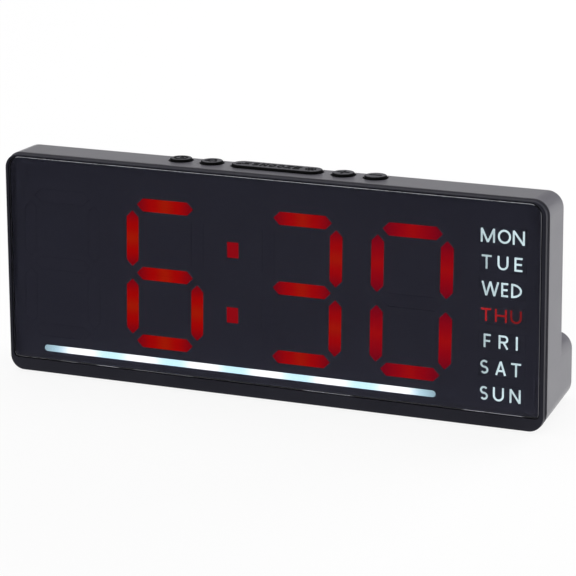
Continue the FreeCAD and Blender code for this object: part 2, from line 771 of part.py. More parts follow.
def build_rear_housing():
    """Moulded shell: sloping base, foot-like bulge, key wells, posts, tray and grille."""
    body = new_body("rear_housing")
    sketch_corners = [
        (shell_front, base_height(shell_front)),
        ("bulge_depth", base_height("bulge_depth")),
        ("bulge_depth", "bulge_top"),
        ("body_depth", "bulge_top"),
        ("body_depth", "height"),
        (shell_front, "height"),
    ]
    pad(body, "form", "YZ", f"-{half_width}", half_width, [(polygon, sketch_corners)])
    hollow_front = f"({shell_front} - 1)"
    sloped_wall = "wall / cos(lean_angle)"
    hollow_corners = [
        (hollow_front, f"{base_height(hollow_front)} + {sloped_wall}"),
        (bulge_inside, f"{base_height(bulge_inside)} + {sloped_wall}"),
        (bulge_inside, "bulge_top - wall"),
        (rear_inside, "bulge_top - wall"),
        (rear_inside, "height - wall"),
        (hollow_front, "height - wall"),
    ]
    pocket(
        body, "hollow", "YZ", f"-{half_width} + wall", f"{half_width} - wall", [(polygon, hollow_corners)]
    )
    side = value(half_width)
    wall = value("wall")
    inner_long = lambda edge, middle: near(abs(middle.x), side - wall) and runs_along(edge, 1)
    outer_long = lambda edge, middle: near(abs(middle.x), side) and runs_along(edge, 1)
    round_edges(body, "inner_corners", "corner_radius - wall", inner_long)
    round_edges(body, "outer_corners", "corner_radius", outer_long)
    rear_edge = lambda edge, middle: (
        near(middle.y, value("bulge_depth"))
        or (near(middle.y, value("body_depth")) and middle.z > value("bulge_top") + 1)
    )
    round_edges(body, "rear_edges", "rear_edge_radius", rear_edge)
    front_base = value(base_height(shell_front))
    outer_arc = (value("corner_radius") - wall / 2) * math.pi / 2

    def outer_front(edge, middle):
        if not near(middle.y, value(shell_front)):
            return False
        if not isinstance(edge.Curve, Part.Line):
            return edge.Length > outer_arc
        return (
            abs(middle.x) > side - wall / 2
            or middle.z > value("height") - wall / 2
            or middle.z < front_base + wall / 2
        )

    round_edges(body, "front_edges", "front_edge_radius", outer_front)

    # Key wells through the top wall.
    wells = [circle_loop(x, "key_row_depth", "round_key_diameter + 2 * key_gap") for x in round_keys.values()]
    wells.append(
        slot_loop(
            "key_row_offset", "key_row_depth", "snooze_length + 2 * key_gap", "snooze_width + 2 * key_gap"
        )
    )
    pocket(body, "key_wells", "XY", "height - 1.5 * wall", "height + 1", wells)

    # Screw posts, with counterbores and clearance holes.
    for index, (x, z, rear) in enumerate(post_places):
        post = circle_loop(x, z, "post_diameter")
        pad(body, f"post_{index}", "XZ", post_front, f"{rear} - 0.5 * wall", [post])
        pocket(
            body, f"counterbore_{index}", "XZ", f"{rear} - counterbore_depth", f"{rear} + 1",
            [circle_loop(x, z, "counterbore_diameter")],
        )
        pocket(
            body, f"screw_hole_{index}", "XZ", f"{post_front} - 1", rear,
            [circle_loop(x, z, "screw_diameter + 2 * screw_clearance")],
        )

    # Shelves that carry the key board.
    for index, x in enumerate(key_board_shelves):
        pad(
            body, f"shelf_{index}", "XZ", f"{board_back} + fit_clearance", f"{rear_inside} + 0.5 * wall",
            [
                box_loop(
                    f"{x} - shelf_width / 2", f"{x} + shelf_width / 2",
                    f"{key_board_level} - shelf_height", key_board_level,
                )
            ],
        )

    # Speaker ring and grille.
    ring_bore = "speaker_diameter + 2 * fit_clearance"
    pad(
        body, "speaker_ring", "XZ", f"{rear_inside} - 0.8 * speaker_thickness", f"{rear_inside} + 0.5 * wall",
        [
            circle_loop(speaker_offset, speaker_height, f"{ring_bore} + 2 * tray_wall"),
            circle_loop(speaker_offset, speaker_height, ring_bore),
        ],
    )
    slots = []
    for step in (-3, -2, -1, 0, 1, 2, 3):
        rise = f"({step} * slot_pitch)"
        length = f"2 * sqrt((0.45 * speaker_diameter) ^ 2 - {rise} ^ 2)"
        slots.append(slot_loop(speaker_offset, f"{speaker_height} + {rise}", length, "slot_width"))
    pocket(body, "grille", "XZ", f"{rear_inside} - 0.5", "body_depth + 1", slots)

    # Battery tray, with the door's opening and its sunk seat.
    pad(
        body, "tray", "XZ", f"{tray_front} - tray_wall", f"{bulge_inside} + 0.5 * wall",
        [box_loop(*grown(tray_box, "tray_wall")), box_loop(*tray_box)],
    )
    tray_floor = box_loop(*grown(tray_box, "tray_wall / 2"))
    pad(body, "tray_floor", "XZ", f"{tray_front} - tray_wall", tray_front, [tray_floor])
    door_opening = box_loop(*grown(tray_box, "-door_lip / 2"))
    pocket(body, "door_opening", "XZ", f"{bulge_inside} - 0.5", "bulge_depth + 1", [door_opening])
    pocket(
        body, "door_seat", "XZ", "bulge_depth - door_thickness", "bulge_depth + 1",
        [box_loop(*grown(tray_box, "door_seat"))],
    )
    pocket(
        body, "finger_notch", "XZ", "bulge_depth - 0.8 * door_thickness", "bulge_depth + 1",
        [circle_loop(f"({tray_box[1]}) + door_seat", "battery_level", "finger_notch_diameter")],
    )

    # Posts for the control board and the way in for the power plug.
    for index, (x, depth) in enumerate(control_posts):
        pad(
            body, f"control_post_{index}", "XY", f"{base_height(depth)} + 0.5 * wall", "control_level",
            [circle_loop(x, depth, "control_post_diameter")],
        )
    pocket(
        body, "plug_way", "XZ", f"{bulge_inside} - 0.5", "bulge_depth + 1",
        [slot_loop("socket_offset", socket_axis, "plug_width", "plug_height")],
    )


def grown(box, margin):
    """An outline box made larger all round."""
    left, right, bottom, top = box
    return (
        f"({left}) - ({margin})", f"({right}) + ({margin})",
        f"({bottom}) - ({margin})", f"({top}) + ({margin})",
    )


# Battery tray: two cells, one above the other, in the bulge.
tray_half_length = "((cell_length + cell_nub_length + spring_length + 2 * contact_thickness) / 2)"
tray_half_height = "(cell_diameter + 1.5 * cell_gap)"
tray_box = (
    f"battery_offset - {tray_half_length}",
    f"battery_offset + {tray_half_length}",
    f"battery_level - {tray_half_height}",
    f"battery_level + {tray_half_height}",
)
cell_depth = f"({bulge_inside} - cell_gap - cell_diameter / 2)"
tray_front = f"({bulge_inside} - 2 * cell_gap - cell_diameter)"
cell_levels = {
    "lower": ("battery_level - (cell_diameter + cell_gap) / 2", 1),
    "upper": ("battery_level + (cell_diameter + cell_gap) / 2", -1),
}

# Control board on four posts, and the power socket at its rear edge.
control_posts = [
    (f"control_offset {side} (control_length / 2 - control_post_inset)", depth)
    for side in ("-", "+")
    for depth in ("(control_front + control_post_inset)", "(control_rear - control_post_inset)")
]
control_top = "(control_level + board_thickness)"
socket_axis = f"({control_top} + socket_height / 2)"
socket_mouth = f"({bulge_inside} - 0.5 * fit_clearance)"
key_board_left = "(key_row_offset - inner_key_reach - outer_key_step - key_board_overhang)"
key_board_right = "(key_row_offset + inner_key_reach + outer_key_step + key_board_overhang)"
key_board_front = f"(switch_row_depth - key_board_width / 2)"
key_board_rear = f"(switch_row_depth + key_board_width / 2)"
key_board_shelves = [
    f"({key_board_left} + shelf_width / 2)",
    "(key_row_offset)",
    f"({key_board_right} - shelf_width / 2)",
]


def build_feet():
    """Four rubber pads under the base, made level in the clock's own frame."""
    body = new_body("rubber_feet", leaning=False)
    reach = "(width / 2 - foot_inset)"
    loops = []
    for x in (f"-{reach}", reach):
        for depth in ("front_foot_depth", "rear_foot_depth"):
            loops.append(circle_loop(x, f"({depth}) / cos(lean_angle)", "foot_diameter"))
    pad(body, "pads", "XY", "-foot_proud", "0", loops)


def build_housing_screws():
    """Four screws from the rear; the lower pair is long because it crosses the bulge."""
    body = new_body("housing_screws")
    tip = f"({mask_back} + boss_length - screw_bite)"
    for index, (x, z, rear) in enumerate(post_places):
        under_head = f"({rear} - counterbore_depth)"
        pad(body, f"shank_{index}", "XZ", tip, under_head, [circle_loop(x, z, "screw_diameter")])
        pad(
            body, f"head_{index}", "XZ", under_head, f"{under_head} + screw_head_height",
            [circle_loop(x, z, "screw_head_diameter")],
        )


def build_keys():
    """Key caps with their retaining ears and stems, on the switch plungers."""
    for name, x in key_places.items():
        body = new_body(name)
        if name == "snooze_bar":
            outline = slot_loop(x, "key_row_depth", "snooze_length", "snooze_width")
            reach = "(snooze_length / 2 + ear_reach)"
        else:
            outline = circle_loop(x, "key_row_depth", "round_key_diameter")
            reach = "(round_key_diameter / 2 + ear_reach)"
        pad(body, "cap", "XY", ear_bottom, "height + key_proud", [outline])
        top = lambda edge, middle: near(middle.z, value("height + key_proud"))
        round_edges(body, "top_edge", "key_edge_radius", top)
        pad(
            body, "ears", "XY", ear_bottom, ear_top,
            [
                box_loop(
                    f"{x} - {reach}", f"{x} + {reach}",
                    "key_row_depth - ear_width / 2", "key_row_depth + ear_width / 2",
                )
            ],
        )
        stem = circle_loop(x, "switch_row_depth", "stem_diameter")
        pad(body, "stem", "XY", plunger_top, f"{ear_bottom} + 0.5 * ear_thickness", [stem])
        plunger = new_body(name + "_plunger")
        pad(
            plunger, "pin", "XY", f"{switch_bottom} + 2 * key_travel + fit_clearance", plunger_top,
            [circle_loop(x, "switch_row_depth", "plunger_diameter")],
        )


def build_switches():
    """The key board and its five push switches."""
    plate(
        "key_board", key_board_level, switch_bottom,
        [box_loop(key_board_left, key_board_right, key_board_front, key_board_rear)], "XY",
    )
    body = new_body("tact_switches")
    half = "switch_size / 2"
    pad(
        body, "bodies", "XY", switch_bottom, switch_top,
        [
            box_loop(
                f"{x} - {half}", f"{x} + {half}", f"switch_row_depth - {half}", f"switch_row_depth + {half}"
            )
            for x in key_places.values()
        ],
    )
    pocket(
        body, "plunger_holes", "XY", f"{switch_bottom} + key_travel", f"{switch_top} + 1",
        [
            circle_loop(x, "switch_row_depth", "plunger_diameter + 2 * plunger_clearance")
            for x in key_places.values()
        ],
    )


def build_speaker():
    """Round speaker: basket against the grille and a magnet cup in front of it."""
    body = new_body("speaker")
    pad(
        body, "basket", "XZ", f"{rear_inside} - speaker_thickness", rear_inside,
        [circle_loop(speaker_offset, speaker_height, "speaker_diameter")],
    )
    pad(
        body, "magnet", "XZ", f"{rear_inside} - speaker_thickness - magnet_thickness",
        f"{rear_inside} - 0.5 * speaker_thickness",
        [circle_loop(speaker_offset, speaker_height, "magnet_diameter")],
    )


def build_batteries():
    """Two cells, their contact plates and springs, and the lift-off door."""
    left, right, bottom, top = tray_box
    cells = new_body("battery_cells")
    plates = new_body("battery_contacts")
    springs = new_body("contact_springs")
    for name, (level, facing) in cell_levels.items():
        plate_left = f"({left} + contact_thickness)"
        plate_right = f"({right} - contact_thickness)"
        if facing > 0:
            can = (f"{plate_left} + spring_length", f"{plate_right} - cell_nub_length")
            nub = (can[1], plate_right)
            coil = (plate_left, can[0])
        else:
            can = (f"{plate_left} + cell_nub_length", f"{plate_right} - spring_length")
            nub = (plate_left, can[0])
            coil = (can[1], plate_right)
        pad(cells, name + "_can", "YZ", *can, [circle_loop(cell_depth, level, "cell_diameter")])
        pad(cells, name + "_nub", "YZ", *nub, [circle_loop(cell_depth, level, "cell_nub_diameter")])
        pad(springs, name + "_coil", "YZ", *coil, [circle_loop(cell_depth, level, "spring_diameter")])
        half = "(cell_diameter / 2 - cell_gap)"
        square = box_loop(
            f"{cell_depth} - {half}", f"{cell_depth} + {half}", f"{level} - {half}", f"{level} + {half}"
        )
        pad(plates, name + "_left", "YZ", left, plate_left, [square])
        pad(plates, name + "_right", "YZ", plate_right, right, [square])

    door = new_body("battery_door")
    pad(
        door, "cover", "XZ", "bulge_depth - door_thickness", "bulge_depth",
        [box_loop(*grown(tray_box, "door_seat - door_gap"))],
    )
    lip = grown(tray_box, "-door_lip / 2 - door_gap")
    lip_front = f"{bulge_inside} - 0.5 * cell_gap"
    pad(
        door, "lip", "XZ", lip_front, "bulge_depth - 0.5 * door_thickness",
        [box_loop(*lip), box_loop(*grown(lip, "-door_lip"))],
    )
    grooves = []
    for step in (-2, -1, 0, 1, 2):
        rise = f"({top} - door_lip * 4 - {step + 2} * 1.5 * door_lip)"
        grooves.append(slot_loop("battery_offset", rise, "cell_diameter", "0.7 * door_lip"))
    pocket(door, "grip", "XZ", "bulge_depth - grip_depth", "bulge_depth + 1", grooves)


def chip_loop(offset, middle, width, length):
    """One package on the control board, seen from above."""
    centre = f"(control_offset + {offset})"
    return box_loop(
        f"{centre} - {width} / 2", f"{centre} + {width} / 2",
        f"{middle} - {length} / 2", f"{middle} + {length} / 2",
    )


def build_control_board():
    """Main board in the bulge with its chips, the power socket and two ribbon cables."""
    half = "(control_length / 2)"
    board = new_body("control_board")
    pad(
        board, "board", "XY", "control_level", control_top,
        [box_loop(f"control_offset - {half}", f"control_offset + {half}", "control_front", "control_rear")],
    )
    chips = new_body("control_chips")
    middle = "((control_front + control_rear) / 2)"
    chip_height = f"{control_top} + board_thickness"
    pad(
        chips, "packages", "XY", control_top, chip_height,
        [
            chip_loop("processor_offset", middle, "processor_width", "processor_width"),
            chip_loop("clock_chip_offset", middle, "small_chip_width", "small_chip_length"),
            chip_loop("driver_chip_offset", middle, "small_chip_width", "small_chip_length"),
        ],
    )
    socket = new_body("power_socket")
    pad(
        socket, "shell", "XZ", f"{socket_mouth} - socket_length", socket_mouth,
        [slot_loop("socket_offset", socket_axis, "socket_width", "socket_height")],
    )
    pocket(
        socket, "mouth", "XZ", f"{socket_mouth} - socket_length + socket_back", f"{socket_mouth} + 1",
        [
            slot_loop(
                "socket_offset", socket_axis,
                "socket_width - 2 * socket_wall", "socket_height - 2 * socket_wall",
            )
        ],
    )
    pad(
        socket, "tongue", "XZ", f"{socket_mouth} - socket_length + 0.5 * socket_back",
        f"{socket_mouth} - socket_back",
        [
            box_loop(
                "socket_offset - socket_tongue_width / 2", "socket_offset + socket_tongue_width / 2",
                f"{socket_axis} - socket_tongue_height / 2", f"{socket_axis} + socket_tongue_height / 2",
            )
        ],
    )

    # The display ribbon climbs from the control board and turns onto the display board.
    left = "control_offset - control_length / 2 + cable_setback"
    outer = "(control_front + cable_margin)"
    inner = f"({outer} - cable_thickness)"
    top = f"({control_top} + display_ribbon_rise)"
    ribbon = new_body("display_ribbon")
    pad(
        ribbon, "strip", "YZ", left, f"{left} + cable_width",
        [
            (
                polygon,
                [
                    (inner, control_top), (outer, control_top), (outer, top), (board_back, top),
                    (board_back, f"{top} - cable_thickness"), (inner, f"{top} - cable_thickness"),
                ],
            )
        ],
    )
    # The key ribbon drops from the key board onto the back of the display board.
    drop = f"({key_board_level} - key_ribbon_drop)"
    strip_front = f"({key_board_front} + cable_margin)"
    strip_rear = f"({strip_front} + cable_thickness)"
    key_ribbon = new_body("key_ribbon")
    pad(
        key_ribbon, "strip", "YZ", "key_ribbon_offset", "key_ribbon_offset + cable_width",
        [
            (
                polygon,
                [
                    (strip_front, key_board_level), (strip_rear, key_board_level), (strip_rear, drop),
                    (board_back, drop), (board_back, f"{drop} + cable_thickness"),
                    (strip_front, f"{drop} + cable_thickness"),
                ],
            )
        ],
    )


build_front_frame()
build_lens()
build_lens_tape()
build_light_mask()
build_diffusers()
build_display_board()
build_leds()
build_rear_housing()
build_feet()
build_housing_screws()
build_keys()
build_switches()
build_speaker()
build_batteries()
build_control_board()

doc.recompute()
for item in doc.Objects:
    if "Invalid" in item.State or "Error" in item.State:
        raise RuntimeError(f"{item.Name} failed: {item.State}")
bodies = [item for item in doc.Objects if item.TypeId == "PartDesign::Body"]
for body in bodies:
    if body.Shape.isNull() or not body.Shape.isValid():
        raise RuntimeError(f"{body.Label} has no valid shape")
os.makedirs("parts", exist_ok=True)
for body in bodies:
    body.Shape.exportStep(f"parts/{body.Label}.step")
    print(body.Label, len(body.Shape.Solids), round(body.Shape.Volume))
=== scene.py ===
import json
import math

import bmesh
import bpy
from mathutils import Matrix, Vector


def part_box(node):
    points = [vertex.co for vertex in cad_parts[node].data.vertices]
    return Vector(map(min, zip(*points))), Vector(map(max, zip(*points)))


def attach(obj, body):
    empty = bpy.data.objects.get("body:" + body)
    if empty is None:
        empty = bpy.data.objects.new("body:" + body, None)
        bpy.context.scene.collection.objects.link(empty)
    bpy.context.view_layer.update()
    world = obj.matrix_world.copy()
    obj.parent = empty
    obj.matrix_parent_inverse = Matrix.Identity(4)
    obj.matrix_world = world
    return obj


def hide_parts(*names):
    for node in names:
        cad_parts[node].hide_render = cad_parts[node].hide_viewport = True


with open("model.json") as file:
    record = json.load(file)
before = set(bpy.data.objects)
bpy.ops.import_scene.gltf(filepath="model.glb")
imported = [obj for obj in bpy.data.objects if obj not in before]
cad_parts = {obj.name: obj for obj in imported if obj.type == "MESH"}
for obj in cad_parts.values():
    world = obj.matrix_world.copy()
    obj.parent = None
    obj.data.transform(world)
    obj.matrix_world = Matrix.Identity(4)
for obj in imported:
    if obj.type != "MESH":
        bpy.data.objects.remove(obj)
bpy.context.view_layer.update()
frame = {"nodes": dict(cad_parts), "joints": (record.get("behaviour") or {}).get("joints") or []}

# The clock leans back, so pieces are drawn in millimetres on its face:
# x to the right, depth behind the front plane, height up the face.
face = {
    "lensBack": 2.15,  # depth of the lens's rear plane
    "lensBottom": 6.24,  # height of the lens's lower edge
}
mm = 0.001
joints = {joint["name"]: joint for joint in frame["joints"]}
faceUp = -Vector(joints["snooze_bar_travel"]["axis"]).normalized()
faceDepth = faceUp.cross(Vector((1, 0, 0)))


def nodePoints(node):
    return [vertex.co for vertex in frame["nodes"][node].data.vertices]


lensPoints = nodePoints("display_lens")
faceOrigin = faceDepth * (max(p.dot(faceDepth) for p in lensPoints) - face["lensBack"] * mm)
faceOrigin += faceUp * (min(p.dot(faceUp) for p in lensPoints) - face["lensBottom"] * mm)
faceMatrix = Matrix(
    (
        (mm, faceDepth.x * mm, faceUp.x * mm, faceOrigin.x),
        (0, faceDepth.y * mm, faceUp.y * mm, faceOrigin.y),
        (0, faceDepth.z * mm, faceUp.z * mm, faceOrigin.z),
        (0, 0, 0, 1),
    )
)
toFace = faceMatrix.inverted()


def linkObject(name, data):
    item = bpy.data.objects.new(name, data)
    bpy.context.scene.collection.objects.link(item)
    return item


def faceBox(node):
    points = [toFace @ p for p in nodePoints(node)]
    low = [min(p[i] for p in points) for i in range(3)]
    high = [max(p[i] for p in points) for i in range(3)]
    return low, high


print("face frame ready, lean", round(math.degrees(math.atan2(faceUp.y, faceUp.z)), 2))

view = {
    "lens": 189.43,  # millimetres, as the sensor's width is
    "sensor": 36,
    "reach": 60,  # metres it sees
    "place": (0.536601, -1.106550, 0.589986),
    "right": (0.912994, 0.400477, -0.077848),
    "up": (-0.097951, 0.400410, 0.911086),
}
cameraData = bpy.data.cameras.new("photoCamera")
cameraData.lens = view["lens"]
cameraData.sensor_width = view["sensor"]
cameraData.clip_end = view["reach"]
camera = linkObject("photoCamera", cameraData)
right, up = Vector(view["right"]), Vector(view["up"])
back = right.cross(up)
camera.matrix_world = Matrix.Translation(view["place"]) @ Matrix((right, up, back)).transposed().to_4x4()
bpy.context.scene.camera = camera
bpy.context.scene.view_settings.view_transform = "Standard"


def feed(node, values):
    # Gives each input its plain value, or a link when the value is another node's output.
    for label, value in values.items():
        if isinstance(value, bpy.types.NodeSocket):
            node.id_data.links.new(value, node.inputs[label])
        else:
            node.inputs[label].default_value = value


def newNode(tree, kind, values=None, **settings):
    node = tree.nodes.new(kind)
    for name, value in settings.items():
        setattr(node, name, value)
    feed(node, values or {})
    return node


def remap(tree, value, low, high, start, end, curve="LINEAR"):
    values = {"Value": value, "From Min": low, "From Max": high, "To Min": start, "To Max": end}
    return newNode(tree, "ShaderNodeMapRange", values, interpolation_type=curve).outputs[0]


def arithmetic(tree, operation, first, second=0.0):
    return newNode(tree, "ShaderNodeMath", {0: first, 1: second}, operation=operation).outputs[0]


def multiply(tree, first, second):
    return arithmetic(tree, "MULTIPLY", first, second)


def add(tree, first, second):
    return arithmetic(tree, "ADD", first, second)


def subtract(tree, first, second):
    return arithmetic(tree, "SUBTRACT", first, second)


def objectPlace(tree):
    return newNode(tree, "ShaderNodeTexCoord").outputs["Object"]


def axes(tree, vector):
    return newNode(tree, "ShaderNodeSeparateXYZ", {0: vector}).outputs


def attribute(tree, name):
    return newNode(tree, "ShaderNodeAttribute", attribute_name=name).outputs["Fac"]


studio = {
    "floorSize": 12.0,
    "floorColour": (0.95, 0.95, 0.95, 1),
    "whiteShare": 0.88,  # how much of the floor's white doesn't depend on the lamps
    "frontRoom": 0.045,  # brightness of the room in front of the clock, as the glossy face shows it
    "frontEdge": 0.02,  # the same at both sides of it
    "frontTurn": 0.53,  # how far its brightest strip turns aside, away from the clock
    "frontMiddle": 0.12,
    "stripEnds": (0.02, 0.34),  # between these it fades towards both sides
    "backRoom": 0.32,  # the pale room behind it, above the floor
    "fill": 0.42,  # world light on matt surfaces
}


def roomForGloss(tree, direction, start, end, back):
    # Reflections see a pale room behind the clock and a dim one in front of it.
    split = axes(tree, direction)
    strip = add(tree, multiply(tree, split["Y"], studio["frontTurn"]), studio["frontMiddle"])
    aside = arithmetic(tree, "ABSOLUTE", subtract(tree, split["X"], strip))
    front = remap(tree, aside, *studio["stripEnds"], studio["frontRoom"], studio["frontEdge"], "SMOOTHSTEP")
    return remap(tree, split["Y"], start, end, front, back, "SMOOTHSTEP")


def makeWorld():
    world = bpy.data.worlds.new("paleStudio")
    bpy.context.scene.world = world
    world.use_nodes = True
    tree = world.node_tree
    tree.nodes.clear()
    rays = newNode(tree, "ShaderNodeLightPath").outputs
    direction = newNode(tree, "ShaderNodeTexCoord").outputs["Generated"]
    room = roomForGloss(tree, direction, -0.1, 0.35, studio["backRoom"])
    seen = multiply(tree, rays["Is Glossy Ray"], room)
    seen = add(tree, seen, rays["Is Camera Ray"])
    seen = add(tree, seen, rays["Is Transmission Ray"])
    unseen = subtract(tree, 1.0, rays["Is Glossy Ray"])
    strength = arithmetic(tree, "MAXIMUM", seen, multiply(tree, unseen, studio["fill"]))
    background = newNode(tree, "ShaderNodeBackground", {"Strength": strength, "Color": (1, 1, 1, 1)})
    newNode(tree, "ShaderNodeOutputWorld", {0: background.outputs[0]})


def makeFloor():
    size = studio["floorSize"] / 2
    mesh = bpy.data.meshes.new("paleFloor")
    corners = [(-size, -size, 0), (size, -size, 0), (size, size, 0), (-size, size, 0)]
    mesh.from_pydata(corners, [], [(0, 1, 2, 3)])
    floor = linkObject("paleFloor", mesh)
    material = bpy.data.materials.new("paleFloor")
    material.use_nodes = True
    tree = material.node_tree
    tree.nodes.clear()
    rays = newNode(tree, "ShaderNodeLightPath").outputs
    room = roomForGloss(tree, objectPlace(tree), -0.10, 0.02, 1.0)
    strength = remap(tree, rays["Is Glossy Ray"], 0, 1, 1.0, room)
    mirrored = arithmetic(tree, "MAXIMUM", rays["Is Glossy Ray"], rays["Is Transmission Ray"])
    share = multiply(tree, rays["Is Camera Ray"], studio["whiteShare"])
    share = arithmetic(tree, "MAXIMUM", share, mirrored)
    glow = newNode(tree, "ShaderNodeEmission", {"Strength": strength})
    matt = newNode(tree, "ShaderNodeBsdfDiffuse", {"Color": studio["floorColour"]})
    mix = newNode(tree, "ShaderNodeMixShader", {0: share, 1: matt.outputs[0], 2: glow.outputs[0]})
    newNode(tree, "ShaderNodeOutputMaterial", {0: mix.outputs[0]})
    mesh.materials.append(material)


lamps = {
    # name: (place, aimed at, width, height, watts)
    "topSoftbox": ((-0.2, 0.5, 1.7), (0, 0, 0.05), 1.4, 1.0, 13),
    "sideSoftbox": ((0.95, 1.30, 0.42), (0.1, 0, 0.06), 1.2, 0.78, 22),
    "frontFill": ((-1.1, -1.7, 1.2), (0, 0, 0.05), 1.0, 1.0, 9),
}


def makeLamps():
    for name, (place, aim, width, height, watts) in lamps.items():
        data = bpy.data.lights.new(name, "AREA")
        data.shape = "RECTANGLE"
        data.size = width
        data.size_y = height
        data.energy = watts
        lamp = linkObject(name, data)
        lamp.location = place
        lamp.rotation_mode = "QUATERNION"
        lamp.rotation_quaternion = (Vector(aim) - Vector(place)).to_track_quat("-Z", "Y")
        lamp.visible_transmission = False  # keeps the display behind the lens evenly lit
        lamp.visible_glossy = name != "sideSoftbox"  # no bright streak on the shell's corner


makeWorld()
makeFloor()
makeLamps()
print("camera and studio ready")


def newGroup(name, inputs, outputs):
    group = bpy.data.node_groups.new(name, "ShaderNodeTree")
    for label, value in inputs.items():
        socket = group.interface.new_socket(name=label, in_out="INPUT", socket_type="NodeSocketFloat")
        socket.default_value = value
    for label in outputs:
        group.interface.new_socket(name=label, in_out="OUTPUT", socket_type="NodeSocketFloat")
    return group, newNode(group, "NodeGroupInput").outputs, newNode(group, "NodeGroupOutput")


def scaledNoise(tree, coordinate, scale, detail=3.0, roughness=0.5):
    values = {"Vector": coordinate, "Scale": scale, "Detail": detail, "Roughness": roughness}
    return newNode(tree, "ShaderNodeTexNoise", values).outputs["Fac"]


def spread(tree, noise, start, end):
    # Noise lies mostly between 0.3 and 0.7, which is stretched here between two values.
    return remap(tree, noise, 0.3, 0.7, start, end)


def makeMouldedGrain():
    # Fine spark-eroded grain with a slow mottle, as moulded casings have.
    group, entry, leave = newGroup(
        "mouldedGrain",
        {"Grain Scale": 2600, "Mottle Scale": 35, "Rough Low": 0.34, "Rough High": 0.46},
        ("Height", "Mottle", "Roughness"),
    )
    coordinate = objectPlace(group)
    grain = scaledNoise(group, coordinate, entry["Grain Scale"], 2.0)
    mottle = scaledNoise(group, coordinate, entry["Mottle Scale"], 4.0, 0.6)
    rough = spread(group, mottle, entry["Rough Low"], entry["Rough High"])
    feed(leave, {"Height": grain, "Mottle": spread(group, mottle, 0, 1), "Roughness": rough})
    return group


def makeHandling():
    # Thin smears and specks of dust that break up a gloss.
    group, entry, leave = newGroup(
        "handlingMarks",
        {"Smear Scale": 18, "Dust Scale": 900, "Dust Amount": 0.02},
        ("Smear", "Dust"),
    )
    coordinate = objectPlace(group)
    drawn = {"Vector": coordinate, "Scale": (1, 1, 3), "Rotation": (0.3, 0.2, 0.5)}
    stretch = newNode(group, "ShaderNodeMapping", drawn).outputs[0]
    smear = scaledNoise(group, stretch, entry["Smear Scale"], 5.0, 0.65)
    feed(leave, {"Smear": remap(group, smear, 0.45, 0.75, 0, 1)})
    specks = newNode(group, "ShaderNodeTexVoronoi", {"Vector": coordinate, "Scale": entry["Dust Scale"]})
    near = arithmetic(group, "LESS_THAN", specks.outputs["Distance"], 0.16)
    colour = newNode(group, "ShaderNodeSeparateColor", {0: specks.outputs["Color"]})
    chosen = arithmetic(group, "LESS_THAN", colour.outputs[0], entry["Dust Amount"])
    feed(leave, {"Dust": multiply(group, near, chosen)})
    return group


mouldedGrain = makeMouldedGrain()
handlingMarks = makeHandling()


def newMaterial(name):
    material = bpy.data.materials.new(name)
    material.use_nodes = True
    return material, material.node_tree, material.node_tree.nodes["Principled BSDF"]


def placeGroup(tree, group, values=None):
    return newNode(tree, "ShaderNodeGroup", values, node_tree=group).outputs


def blendColours(tree, share, dark, light):
    # Either colour may be another node's output.
    ends = [end if isinstance(end, bpy.types.NodeSocket) else (*end, 1) for end in (dark, light)]
    values = {"Factor": share, "A": ends[0], "B": ends[1]}
    return newNode(tree, "ShaderNodeMix", values, data_type="RGBA").outputs["Result"]


def addBump(tree, shader, height, distance):
    bump = newNode(tree, "ShaderNodeBump", {"Strength": 1.0, "Distance": distance, "Height": height})
    feed(shader, {"Normal": bump.outputs[0]})


def mouldedPlastic(name, dark, light, roughLow, roughHigh, grainDepth, specular=0.5):
    material, tree, shader = newMaterial(name)
    grain = placeGroup(tree, mouldedGrain, {"Rough Low": roughLow, "Rough High": roughHigh})
    smeared = multiply(tree, placeGroup(tree, handlingMarks)["Smear"], 0.05)
    feed(shader, {
        "Base Color": blendColours(tree, grain["Mottle"], dark, light),
        "Roughness": add(tree, grain["Roughness"], smeared),
        "Specular IOR Level": specular,
    })
    addBump(tree, shader, grain["Height"], grainDepth)
    return material


shellPlastic = mouldedPlastic("satinShell", (0.088, 0.085, 0.103), (0.107, 0.103, 0.124), 0.36, 0.46, 0.00002)
shellSheen = {"Coat Weight": 0.6, "Coat Roughness": 0.28}
feed(shellPlastic.node_tree.nodes["Principled BSDF"], shellSheen)
framePlastic = mouldedPlastic("frameShell", (0.021, 0.021, 0.030), (0.027, 0.027, 0.038), 0.30, 0.38, 0.00001, 0.14)
maskPlastic = mouldedPlastic("maskMoulding", (0.172, 0.173, 0.242), (0.183, 0.184, 0.256), 0.6, 0.75, 0.00001, 0.1)
switchPlastic = mouldedPlastic("switchBody", (0.02, 0.02, 0.02), (0.035, 0.035, 0.035), 0.4, 0.5, 0.00001)
chipPlastic = mouldedPlastic("chipPackage", (0.015, 0.015, 0.016), (0.03, 0.03, 0.03), 0.5, 0.65, 0.00002)
emitterPlastic = mouldedPlastic("emitterPackage", (0.75, 0.75, 0.68), (0.85, 0.85, 0.8), 0.4, 0.5, 0.00001)
unlitPlastic = mouldedPlastic("unlitDiffuser", (0.173, 0.173, 0.243), (0.184, 0.184, 0.256), 0.6, 0.7, 0.00001, 0.1)
filmBlack = mouldedPlastic("printedFilm", (0.172, 0.173, 0.242), (0.183, 0.184, 0.256), 0.6, 0.7, 0.00001, 0.1)


